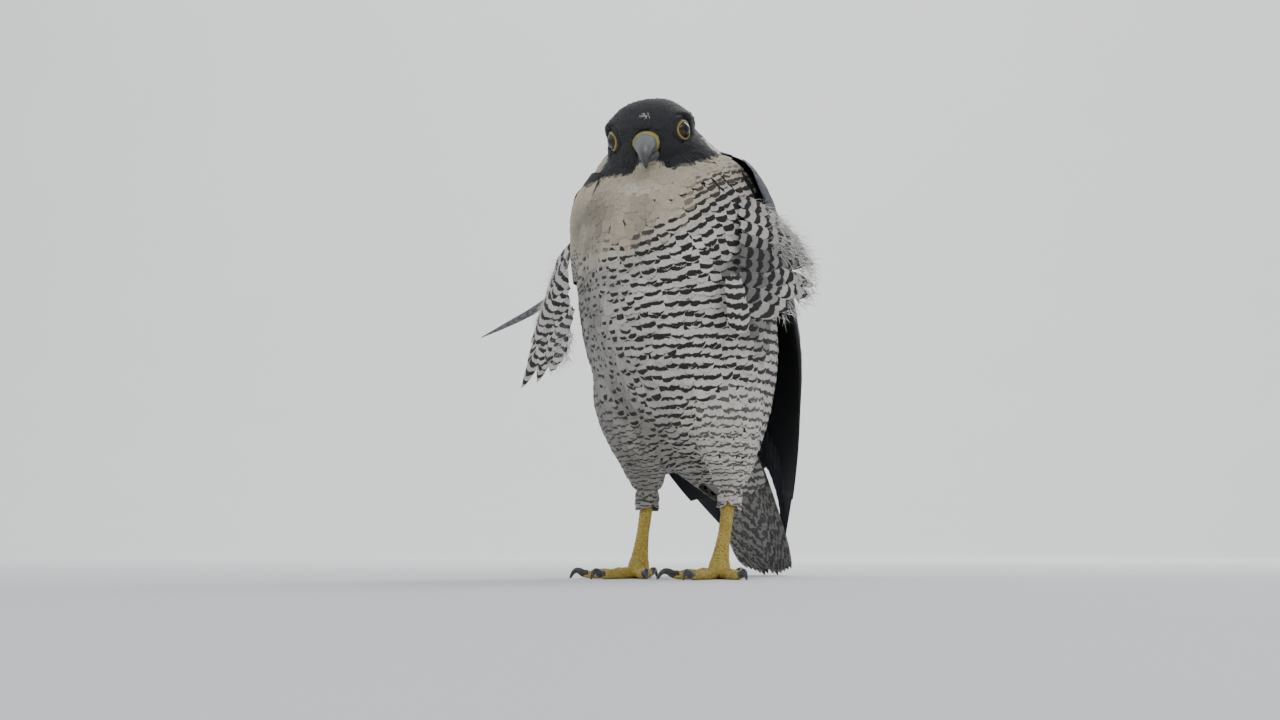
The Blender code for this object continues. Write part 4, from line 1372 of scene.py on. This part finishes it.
def wing_blades(sign):
    """Ten primaries, ten secondaries and four tertials of a folded wing, each over the one before. Places
    are s along the wing and t across it."""
    i = np.arange(10, 0, -1)
    start = stacked(0.42 - 0.012 * i, 0.07 + 0.040 * (10 - i))
    tips = (0.985, 1.0, 0.985, 0.955, 0.925, 0.895, 0.865, 0.835, 0.810, 0.785)
    ends = (0.30, 0.48, 0.50, 0.56, 0.62, 0.68, 0.74, 0.79, 0.84, 0.89)
    end = stacked(tips, ends)
    primary = (start, end, 15.0 + 0.2 * (10 - i), -1.8 + 0.33 * (10 - i), 0.40)
    j = np.arange(10)
    start = stacked(0.30 - 0.006 * j, 0.40 + 0.045 * j)
    end = stacked(0.755 - 0.010 * j, 0.52 + 0.045 * j)
    secondary = (start, end, 18.0 + 0 * j, 1.4 + 0.16 * j, 0.12)
    k = np.arange(4)
    start = stacked(0.22 - 0.02 * k, 0.80 + 0.04 * k)
    end = stacked(0.80 - 0.07 * k, 0.95 + 0.03 * k)
    tertial = (start, end, 23.0 + 0 * k, 3.0 + 0.35 * k + (0.9 if sign < 0 else 0.0), 0.10)
    return primary, secondary, tertial


def chord_at(s):
    """The wing's breadth in mm at s: how far its back edge lies from its front edge."""
    return np.linalg.norm(smooth(WING_BACK, s) - smooth(WING_FRONT, s), axis=-1)


def wing_feathers(sign):
    """Wing blades over the wing's surface, their outer vane the narrower. Places across are turned into t
    by the chord."""
    batches = []
    for start, end, width, out, point in wing_blades(sign):
        u, v, s, middle, off = blades(start, end, width, (18, 7), point, 1.5, 0.015, 0.25)
        lift = out[:, None, None] + 0.05 * width[:, None, None] * (0.35 - u**2) + 0.5 * v
        points = wing_surface(s, middle + off / np.maximum(chord_at(s), 12.0), sign, lift)[0]
        ground = mix(SLATE_DEEP, SLATE, 0.65 + 0 * out)
        marks = slate_marks(points[:, 9, 3], ground, 0.35, 0.10, 0.028, 0.24)
        root = stacked(np.clip(start[:, 1], 0, 1), start[:, 0])
        batches.append((points, feather_maps(u, v, root), marks))
    return batches


COVERT_ROWS = (
    # first s, last s, first t, last t, row step, column step, length, width, out
    (0.29, 0.31, 0.04, 0.34, 9.0, 7.0, 34.0, 10.0, 1.6),
    (0.27, 0.31, 0.34, 0.96, 9.0, 8.5, 33.0, 14.0, 2.7),
    (0.18, 0.26, 0.05, 0.98, 8.0, 8.0, 24.0, 13.0, 3.3),
    (0.005, 0.20, 0.00, 1.00, 5.6, 7.0, 14.0, 10.0, 3.7),
)


def wing_coverts(side):
    """Rows of coverts from the wing's middle up to the wrist, each row over the one below it."""
    shell, batches = wings[side], []
    for first, last, from_t, to_t, row_step, column_step, length, width, out in COVERT_ROWS:
        a, b = lattice(shell, first, last, lambda b: row_step, lambda b: column_step)
        t = a * (1 + 2 * WING_MARGIN) - WING_MARGIN
        keep = (t > from_t) & (t < to_t)
        a, b, t = a[keep], b[keep], t[keep]
        p = shell.place(a, b)
        lie = shell.read(shell.along, a, b) + shell.read(shell.across, a, b) * 0.10
        size = length * varied(len(a), 0.06) * (0.8 + 0.2 * ease(0.0, 0.2, b))
        points, maps = lay(shell, a, b, size, width, lie, grid=(8, 6), rise=0.03, sit=out, camber=0.06,
                           point=0.05, jitter=3.0, ragged=0.04)
        ground = mix(SLATE, (0.062, 0.072, 0.094), ease(0.35, 1.0, t))
        batches.append((points, maps, slate_marks(p, ground, 0.45, 0.30, 0.05)))
    return batches


def alula(side):
    """Three stiff feathers at the bend of the wing, along its front edge."""
    shell = wings[side]
    a = (np.array([0.035, 0.075, 0.115]) + WING_MARGIN) / (1 + 2 * WING_MARGIN)
    b = np.array([0.17, 0.155, 0.14])
    lie = shell.read(shell.along, a, b)
    length, width, sit = (52, 44, 34), (8.5, 8.5, 8.0), (3.0, 3.7, 4.3)
    points, maps = lay(shell, a, b, length, width, lie, grid=(12, 6), rise=0.0, sit=sit, camber=0.06,
                       point=0.5, jitter=1.0, ragged=0.02)
    return points, maps, slate_marks(points[:, 5, 3], (0.035, 0.038, 0.048), 0.1)


def closed_blade(name, outer, inner, turned):
    """Two sheets of places joined into one dark closed blade: a ring of quads round them along their
    length, and a row of quads across each end. turned swaps which side the faces look to."""
    grid = np.concatenate([outer, inner[:, ::-1]], axis=1)
    rows, columns = grid.shape[:2]
    caps = []
    for row, turn in ((0, 1), (rows - 1, -1)):
        for j in range(columns // 2 - 1):
            quad = [row * columns + k for k in (j, j + 1, columns - 2 - j, columns - 1 - j)]
            caps.append(quad[::turn])
    faces = np.concatenate([ring_faces(rows, columns), np.array(caps)])
    if turned:
        faces = faces[:, ::-1]
    ground = np.broadcast_to(np.array(SLATE_DEEP), (rows * columns, 3))
    return put_mesh(name, grid, faces, SKIN, None, {"ground": ground})


def wing_web(side, sign):
    """The wing's own flesh and the bases of its feathers: a closed blade that lies inside the feathers."""
    s, t = np.linspace(0.02, 0.86, 40), np.linspace(0.05, 0.95, 17)
    s, t = np.meshgrid(s, t, indexing="ij")
    t = 0.05 + (t - 0.05) * (1 - 0.55 * ease(0.55, 0.86, s))
    thick = smooth(WING_THICK, s)[..., 0] * np.sqrt(np.sin(np.pi * t)) * 0.5
    outer = wing_surface(s, t, sign, -1.9 - 0.1 * thick)[0]
    inner = wing_surface(s, t, sign, -2.4 - thick)[0]
    web = closed_blade(f"wing_web_{side}", outer, inner, sign > 0)
    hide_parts(f"wing_{side}_coverts", f"wing_{side}_primaries", f"wing_{side}_secondaries")


for side, sign in SIDES:
    wing_web(side, sign)
    feathers = wing_feathers(sign) + wing_coverts(side) + [alula(side)]
    coat(f"coat_wing_{side}", feathers, SLATE_FEATHER)

# Back

back_points, back_faces = joined(("head", "trunk", "neck", "wing_left_coverts", "wing_right_coverts",
                                  "wing_left_secondaries", "wing_right_secondaries"), 2.5, 6)
back_tree = BVHTree.FromPolygons(back_points.tolist(), back_faces.tolist())
back = line_shell(back_tree, BACK_LINE, 90, 144, 100, (5, 5))


def mantle():
    """Feathers of the nape, mantle and scapulars, larger down the back, over the tops of the wings."""
    a, b = lattice(back, 0.08, 0.985, lambda b: 8.0 - 6.0 * ease(0.40, 0.85, b),
                   lambda b: 10.0 - 7.3 * ease(0.40, 0.85, b))
    p = back.place(a, b)
    off = np.abs((a % 1.0) - 0.5) * 2
    q = head_place(p)
    keep = (off < 0.16 + 0.34 * ease(0.20, 0.60, b)) & (q[:, 1] > 9)
    a, b, p, off = a[keep], b[keep], p[keep], off[keep]
    low = ease(0.72, 0.30, b)
    nape = ease(0.60, 0.82, b)
    lie = stacked(0.25 * np.sign(p[:, 0]) * off, 0.40 + 0 * a, -1 + 0 * a)
    length = (13 + 17 * low - 6.5 * nape) * varied(len(a), 0.08)
    width = 9.0 + 9 * low - 5.6 * nape
    sit = 1.0 - 0.7 * nape
    points, maps = lay(back, a, b, length, width, lie, grid=(9, 7), rise=0.05, sit=sit, camber=0.06,
                       point=0.5 * nape, jitter=4.0, ragged=0.08)
    ground = mix(NAPE, (0.058, 0.067, 0.088), ease(0.75, 0.45, b))
    ground = mix(ground, markings(p)[0], ease(0.66, 0.76, b))
    marks = slate_marks(p, ground, 0.5, 0.30, 0.05)
    marks[1][:, 0] *= ease(0.70, 0.50, b)
    return points, maps, marks


coat("coat_back", [mantle()], SLATE_FEATHER)

# Tail

def tail_vanes(start, end, width, out, grid, point, camber):
    """Long feathers over the tail's surface, from start (s, mm across) to end, with their edges bent down
    by camber times their width."""
    u, v, s, middle, off = blades(start, end, width, grid, point, 1.6, 0.02)
    points = tail_surface(s, middle + off, out[:, None, None] + camber * width * (0.4 - u**2) + 0 * s)
    root = stacked(0.5 + start[:, 1] / 200, start[:, 0])
    root = root - root.min(0)
    return points, feather_maps(u, v, root / np.maximum(root.max(0), 1e-6) * 0.98)


def tail_blades(under):
    """Twelve tail feathers folded over one another, the middle pair on top; under is the layer seen from
    below, paler."""
    k = np.repeat(np.arange(5, -1, -1), 2)
    side = np.tile((-1, 1), 6)
    start = stacked(0.12 + 0 * k, side * (1.5 + 1.6 * k))
    end = stacked(1.0 - 0.010 * np.abs(k - 1), side * (2.0 + 2.9 * k))
    out = 2.4 - 0.42 * k if not under else -1.9 + 0.36 * k
    order = slice(None) if not under else slice(None, None, -1)
    points, maps = tail_vanes(start[order], end[order], 15.5, out[order], (20, 7), 0.12, 0.03)
    ground = (0.30, 0.29, 0.28) if under else (0.075, 0.083, 0.105)
    marks = slate_marks(points[:, 9, 3], ground, 0.80, 0.085, 0.024, 0.05)
    return points, maps, marks


def tail_coverts(under):
    """Coverts over the tail's root, in rows from the longest to the nearest."""
    batches = []
    for tip, row in ((0.56, 0), (0.44, 1), (0.32, 2), (0.20, 3)):
        if not under and row == 0:
            continue
        x = np.linspace(-1, 1, 7 - row % 2)
        start = stacked(tip - 0.30 + 0 * x, x * 11)
        end = stacked(tip - 0.05 * np.abs(x), x * 13)
        out = (3.4 + 0.9 * row) * (-1 if under else 1) + 0 * x
        points, maps = tail_vanes(start, end, 15.0, out, (12, 7), 0.0, -0.05 if under else 0.05)
        ground = (0.55, 0.53, 0.50) if under else (0.095, 0.112, 0.150)
        marks = slate_marks(points[:, 6, 3], ground, 0.85 if under else 0.6, 0.16, 0.04, 0.05)
        batches.append((points, maps, marks))
    return batches


def tail_core():
    """The bases of the tail feathers: a thin closed blade inside them."""
    s, x = np.meshgrid(np.linspace(0.0, 0.93, 24), np.linspace(-1, 1, 13), indexing="ij")
    half = smooth((13, 15, 17, 17, 15), s)[..., 0]
    thick = 1.5 * np.sqrt(np.clip(1 - x**2, 0.02, 1))
    outer, inner = tail_surface(s, x * half, 0.1 + thick / 2), tail_surface(s, x * half, 0.1 - thick / 2)
    core = closed_blade("tail_core", outer, inner, False)
    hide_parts("tail")


tail_core()
coat("coat_tail_top", [tail_blades(False)] + tail_coverts(False), SLATE_FEATHER)
coat("coat_tail_under", [tail_blades(True)] + tail_coverts(True), LIGHT_FEATHER)

# Blown flank feathers

def sheet_shell(root, tip, outward, bow):
    """A sheet ruled from a line of roots to a line of tips, bowed outwards by a half sine."""
    k, f = np.linspace(0, 1, 32), np.linspace(0, SHEET_REACH, 24)[:, None, None]
    near, far = smooth(root, k)[None], smooth(tip, k)[None]
    bulge = unit(np.array(outward, float)) * bow * np.sin(np.pi * np.clip(f, 0, 1))
    points = near + (far - near) * f + bulge
    return Shell(points, False, np.broadcast_to(np.array(outward, float), points.shape))


def tuft(shell, rows):
    """Rows of flank feathers on a sheet. A row is how far out its roots lie, its count, its span of a,
    and its feathers' length, width and point. The bars run level across the sheet, a pitch apart, dark
    over a share."""
    batches = []
    for number, (share, count, low, high, length, width, point) in enumerate(rows):
        a = low + (high - low) * (np.arange(count) + 0.5 * (number % 2) + 0.25) / (count + 0.25)
        a = np.clip(a + RANDOM.normal(0, 0.08, count) / count, 0, 1)
        b = np.clip(share / SHEET_REACH + RANDOM.normal(0, 0.012, count), 0, 1)
        lie = shell.read(shell.along, a, b)
        size = length * varied(count, 0.10)
        sit = 0.7 * number + 0.4 * RANDOM.random(count)
        points, maps = lay(shell, a, b, size, width, lie, grid=(16, 11), rise=0.02, sit=sit, camber=0.07,
                           point=point, jitter=5.0, ragged=0.14)
        p = shell.place(a, b)
        ground = mix((0.66, 0.63, 0.58), (0.44, 0.42, 0.40), np.clip(0.35 + 0.4 * waves(p, 12, 9), 0, 1))
        # Painted shade: the feathers go dark grey behind the tuft's middle and at their roots low on the
        # left flank, where they stand off the body.
        tuft_painted_shade = np.exp(-((np.linalg.norm(p - (66, -25, 197), axis=1) / 11) ** 2))
        root_painted_shade = ease(0.20, 0.04, b) * ease(162, 170, p[:, 2]) * ease(208, 200, p[:, 2]) * (p[:, 0] > 0)
        tuft_painted_shade = np.maximum(tuft_painted_shade, root_painted_shade)
        ground = mix(ground, (0.10, 0.10, 0.10), 0.85 * tuft_painted_shade)
        gone = b * np.linalg.norm(lie, axis=-1)
        bars = stacked(1.0, 1.3, TUFT_PITCH / size)
        centre = (-gone % TUFT_PITCH) / size + 0.02 * RANDOM.normal(0, 1, count)
        place = stacked(centre, TUFT_DARK / 2 * TUFT_PITCH / size, 0.5 + 0.15 * RANDOM.normal(0, 1, count))
        batches.append((points, maps, (ground, bars, place)))
    return batches


def down(shell, count, low, high, first, last, length):
    """Loose white down that stands out of a sheet between two values of a and of b."""
    a, b = RANDOM.uniform(low, high, count), RANDOM.uniform(first, last, count)
    roots = shell.place(a, b) + shell.normal(a, b) * RANDOM.uniform(-1.5, 2.0, (count, 1))
    ways = unit(unit(shell.read(shell.along, a, b)) * DOWN_LIE + RANDOM.normal(0, 0.45, (count, 3)))
    points, maps = wisps(roots, ways, length * RANDOM.uniform(0.5, 1.25, count), 0.5, 0.35)
    return points, maps, plain_marks(count, (0.74, 0.72, 0.68), 0.8)


LEFT_TUFT_ROWS = (
    (0.46, 7, 0.02, 0.76, 25.0, 9.5, 0.5), (0.28, 8, 0.02, 0.80, 25.0, 10.0, 0.25),
    (0.12, 9, 0.02, 0.86, 24.0, 10.5, 0.15), (0.00, 9, 0.02, 0.92, 20.0, 10.0, 0.10),
)
RIGHT_TUFT_ROWS = (
    (0.62, 3, 0.20, 0.78, 30.0, 8.5, 0.95), (0.48, 5, 0.08, 0.84, 26.0, 10.5, 0.5),
    (0.32, 7, 0.05, 0.96, 24.0, 11.5, 0.2), (0.17, 8, 0.02, 1.00, 22.0, 11.5, 0.1),
    (0.02, 8, 0.02, 1.00, 20.0, 11.5, 0.1),
)
left_sheet = sheet_shell(TUFT_LEFT_ROOT, TUFT_LEFT_TIP, (0.6, -1.0, 0.2), 5.0)
right_sheet = sheet_shell(TUFT_RIGHT_ROOT, TUFT_RIGHT_TIP, (-0.5, -1.0, 0.1), 3.0)
coat("coat_flank_left", tuft(left_sheet, LEFT_TUFT_ROWS), LIGHT_FEATHER)
coat("coat_flank_right", tuft(right_sheet, RIGHT_TUFT_ROWS), LIGHT_FEATHER)
for title, node in (("coat_flank_left", "flank_left"), ("coat_flank_right", "flank_right")):
    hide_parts(node)
white_down = [
    down(left_sheet, 1500, 0.0, 0.42, 0.28, 0.84, 8.5),
    down(left_sheet, 300, 0.4, 0.8, 0.62, 0.86, 7.0),
    down(right_sheet, 700, 0.0, 0.20, 0.12, 0.62, 9.0),
    down(right_sheet, 260, 0.7, 1.0, 0.30, 0.80, 7.0),
]
coat("coat_down", white_down, LIGHT_FEATHER)


def hanging_lock():
    """A lock of broad barred feathers that hangs clear below the left flank."""
    a = np.array([0.18, 0.42, 0.66, 0.30, 0.55])
    root = ((50, -41, 180), (56, -38, 179), (62, -32, 178))
    tip = ((54, -42, 149), (59, -38, 146), (64, -32, 149))
    shell = sheet_shell(root, tip, (0.5, -1.0, 0.0), 4.0)
    b = np.array([0.30, 0.26, 0.30, 0.02, 0.0])
    lie = shell.read(shell.along, a, b)
    points, maps = lay(shell, a, b, (24, 27, 24, 25, 25), 9.5, lie, grid=(14, 9), rise=0.0, sit=2.6,
                       camber=0.08, point=0.1, jitter=4.0, ragged=0.10)
    one = np.ones(5)
    ground = one[:, None] * (0.66, 0.63, 0.58)
    return points, maps, (ground, one[:, None] * (1.0, 1.2, 0.24), one[:, None] * (0.80, 0.062, 0.5))


coat("coat_hanging_lock", [hanging_lock()], LIGHT_FEATHER)


def breast_side():
    """Breast feathers of the right side that lap over the front edge of the folded wing, down and
    outwards."""
    root = ((-31, -44, 250), (-37, -47, 231), (-42, -46, 206), (-46, -42, 184))
    tip = ((-45, -26, 253), (-63, -21, 236), (-69.5, -12, 208), (-67, -8, 186))
    sheet = sheet_shell(root, tip, (-0.6, -0.8, 0.0), 4.5)
    a, b = np.meshgrid(np.linspace(0, 0.95, 24), np.linspace(0.84, 0.0, 11), indexing="ij")
    b = b + 0.04 * (np.arange(24) % 2)[:, None]
    a, b = a.T.ravel(), b.T.ravel()
    a, b = a + RANDOM.normal(0, 0.008, a.size), b + RANDOM.normal(0, 0.012, b.size)
    lie = 0.7 * unit(sheet.read(sheet.along, a, b)) + (-0.1, 0, -0.8)
    p = sheet.place(a, b)
    points, maps = lay(sheet, a, b, 10.0, 6.0, lie, grid=(8, 9), rise=0.03, sit=0.4, camber=0.04, point=0.0,
                       jitter=6.0, ragged=0.16)
    return points, maps, markings(p, 10.0)


coat("coat_breast_side", [breast_side()], LIGHT_FEATHER)


def make_plume():
    """The lone plume blown out from the right flank: a slim vane along its line, barred, its shaft
    level."""
    line = smooth(PLUME, np.linspace(0, 1, 26))
    u = np.linspace(-1, 1, 7)
    way = np.gradient(line[:, :3], axis=0)
    side = unit(np.cross(way, (0.0, 1.0, 0.0)))
    half = np.maximum(line[:, 3], 0.2) * (0.7 + 0.3 * ease(0, 0.2, np.linspace(0, 1, 26)))
    points = line[:, None, :3] + side[:, None, :] * (half[:, None] * u)[..., None]
    points[..., 1] -= 0.6 * (1 - u**2)
    vane = stacked(u * 0.5 + 0.5, np.linspace(0, 1, 26)[:, None])[None]
    marks = (np.array([(0.20, 0.21, 0.22)]), np.array([(0.5, 1.2, 0.085)]), np.array([(0.9, 0.022, 0.5)]))
    maps = {"vane": vane, "root": np.full(vane.shape, 0.5)}
    coat("coat_plume", [(points[None], maps, marks)], LIGHT_FEATHER)
    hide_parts("flank_right_plume")


make_plume()

# Feet

def groove(x, pitch, width):
    """A depth of 1 at each whole number of pitches and a half, which falls off to 0 within the width."""
    return np.exp(-((((x / pitch) % 1.0 - 0.5) * pitch / width) ** 2))


def foot_relief(points, normals, sign):
    """How far the foot's skin stands out: plates with grooves between them along the top of each toe and
    down the front of the shank, beads between, and soft pads below the joints."""
    p = points * (sign, 1, 1)
    flat = p[:, :2] - FOOT_CENTRE[:2]
    relief, nearest = np.zeros(len(p)), np.full(len(p), 1e9)
    for turn, length, _ in TOES.values():
        way = np.array([math.sin(math.radians(turn)), -math.cos(math.radians(turn))])
        along, off = flat @ way, np.abs(flat @ np.array([-way[1], way[0]]))
        top = ease(0.1, 0.6, normals[:, 2]) * ease(6, 10, along)
        plates = -0.42 * groove(along, 2.5, 0.38) * top
        below = ease(0.2, -0.5, normals[:, 2]) * ease(0.8, 2.0, p[:, 2])
        pads = 0.7 * np.cos(2 * np.pi * along / length * 3) * below
        mine = (off < nearest) & (along > 0)
        relief, nearest = np.where(mine, plates + pads, relief), np.where(mine, off, nearest)
    front = ease(0.1, 0.6, -normals[:, 1])
    shank = -0.45 * groove(p[:, 2], 3.1, 0.42) * front
    relief = relief + (shank - relief) * ease(9, 15, p[:, 2])
    beads = 0.10 * waves(p, 2.2, 31) * ease(0.5, 1.5, p[:, 2])
    return relief + beads


def make_foot(side, sign, skin, horn_black):
    """One skin over the shank and the toes, and a claw on each toe: a round tube that tapers along an
    arc."""
    nodes = [f"shank_{side}"] + [f"toe_{side}_{toe}" for toe in TOES]
    points, faces = joined(nodes, 0.8, 5, 1)
    normals = point_normals(points, faces)
    points = points + normals * foot_relief(points, normals, sign)[:, None]
    stretch = SHANK_DRAW * np.maximum(points[:, 2] - SHANK_TOP, 0)
    points = points + stretch[:, None] * (0.0, 0.15, 1.0)
    points[:, 2] = np.maximum(points[:, 2] - points[:, 2].min() * ease(4, 0, points[:, 2]), 0.0)
    foot = put_mesh(f"foot_{side}", points, faces, skin)
    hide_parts(*nodes)
    for toe, (turn, length, claw) in TOES.items():
        way = np.array([math.sin(math.radians(turn)) * sign, -math.cos(math.radians(turn)), 0.0])
        bend = np.linspace(-0.22, 1, 34)
        arc = np.sin(bend * 1.35) / math.sin(1.35) * 0.8
        line = FOOT_CENTRE * (sign, 1, 1) + way * (length + claw * arc)[:, None]
        arch = 2.2 * np.sin(np.pi * np.clip(bend * 1.25, 0, 1))
        line[:, 2] = 3.2 + arch - 3.4 * np.maximum(bend, 0) ** 2.2
        thick = 2.3 * np.clip(1 - bend, 0, 1) ** 0.75 + 0.12
        line[:, 2] = np.maximum(line[:, 2], thick + 0.02)
        points = tube(line, np.minimum(thick, 2.3), 20)
        share = np.linspace(0, 1, len(points))[:, None]
        around = np.linspace(0, 1, 20, endpoint=False)[None, :]
        spots = stacked(around, share)
        title = f"claw_{side}_{toe}"
        made = put_mesh(f"talon_{side}_{toe}", points, facing_out(points), horn_black,
                        {"length": spots})
        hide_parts(title)


def foot_material():
    """Yellow scaly skin: a net of fine creases, deeper in tone between the scales and blotched on their
    tops."""
    material, tree, shader = shader_of("yellow scaly foot skin", Roughness=0.5, Subsurface_Weight=0.06)
    shader.inputs["Subsurface Scale"].default_value = 0.001
    net = tree.nodes.new("ShaderNodeTexVoronoi")
    net.feature = "DISTANCE_TO_EDGE"
    net.inputs["Scale"].default_value = 800.0
    tree.links.new(tree.nodes.new("ShaderNodeTexCoord").outputs["Object"], net.inputs["Vector"])
    crease = step_node(tree, 0.0, 0.16, net.outputs["Distance"])
    blotch = noise_node(tree, 130.0, 4.0)
    colour = mix_node(tree, step_node(tree, 0.3, 0.7, blotch), (0.50, 0.36, 0.05), (0.64, 0.49, 0.10))
    colour = mix_node(tree, crease, (0.26, 0.17, 0.03), colour)
    paint(tree, shader, colour, noise_node(tree, 2200.0) * 0.3 + crease, 0.5, 0.00025)
    return material


foot_skin = foot_material()
claw_horn = horn("black claw horn", (0.022, 0.020, 0.020), (0.008, 0.008, 0.009))
for side, sign in SIDES:
    make_foot(side, sign, foot_skin, claw_horn)


# Studio

def make_studio():
    """A pale floor that curves up all round into a wall: a flat, a fillet and a wall turned about Z."""
    profile = [(0.001, 0.0), (1.0, 0.0), (FLOOR_RADIUS, 0.0)]
    bend = np.linspace(0.1, math.pi / 2, 12)
    profile += [(FLOOR_RADIUS + FILLET * math.sin(k), FILLET - FILLET * math.cos(k)) for k in bend]
    profile += [(FLOOR_RADIUS + FILLET, WALL_TOP)]
    radius, height = np.array(profile).T
    turn = full_turn(96)
    across, ahead = radius[:, None] * np.cos(turn), radius[:, None] * np.sin(turn)
    points = stacked(across, ahead, height[:, None] + 0 * turn)
    material, tree, shader = shader_of("studio floor", Roughness=0.9)
    speckle = noise_node(tree, 3.0, 2.0) * 0.03 + 0.78
    tree.links.new(grey(tree, speckle), shader.inputs["Base Color"])
    faces = ring_faces(*points.shape[:2])[:, ::-1]
    mesh = bpy.data.meshes.new("floor")
    mesh.from_pydata(points.reshape(-1, 3).tolist(), [], faces.tolist())
    mesh.shade_smooth()
    mesh.materials.append(material)
    floor = in_scene("floor", mesh)


def make_light(name, place, size, power, aim=(0.02, -0.03, 0.15)):
    """A round soft lamp at a place in metres, turned to face its aim."""
    lamp = bpy.data.lights.new(name, "AREA")
    lamp.shape, lamp.size, lamp.energy = "DISK", size, power
    light = in_scene(name, lamp)
    light.location = place
    light.rotation_euler = (Vector(aim) - Vector(place)).to_track_quat("-Z", "Y").to_euler()


def make_camera():
    """Stands where the photo was taken from: low, ahead and to the bird's left, looking up a little."""
    azimuth, rise = math.radians(CAMERA_TURN), math.radians(CAMERA_RISE)
    across = Vector((math.cos(azimuth), math.sin(azimuth), 0))
    level = math.cos(rise)
    ahead = Vector((-math.sin(azimuth) * level, math.cos(azimuth) * level, math.sin(rise)))
    up = across.cross(ahead)
    right, below = HEAD_PIXEL[0] - PICTURE[0] / 2, HEAD_PIXEL[1] - PICTURE[1] / 2
    ray = ahead * CAMERA_AWAY + across * right * PIXEL - up * below * PIXEL
    lens = bpy.data.cameras.new("camera")
    lens.sensor_width = 36.0
    lens.lens = lens.sensor_width * CAMERA_AWAY / PIXEL / PICTURE[0]
    lens.clip_start, lens.clip_end = 0.02, 50
    camera = in_scene("camera", lens)
    camera.location = Vector((HEAD_CENTRE + BIRD_TO_ROW) * MM) - ray
    camera.rotation_euler = ahead.to_track_quat("-Z", "Y").to_euler()
    bpy.context.scene.camera = camera


make_studio()
make_camera()
make_light("key", (1.2, -1.3, 1.5), 1.2, 9)
make_light("fill", (-1.5, -0.9, 0.9), 1.4, 3)
make_light("back", (0.3, 1.6, 1.7), 1.2, 18)
make_light("wall wash", (-0.6, 1.8, 3.2), 2.5, 110, (-2.6, 4.6, 0.9))
world = bpy.data.worlds.new("studio")
world.use_nodes = True
world.node_tree.nodes["Background"].inputs[0].default_value = (0.80, 0.84, 0.88, 1)
world.node_tree.nodes["Background"].inputs[1].default_value = 0.85
bpy.context.scene.world = world
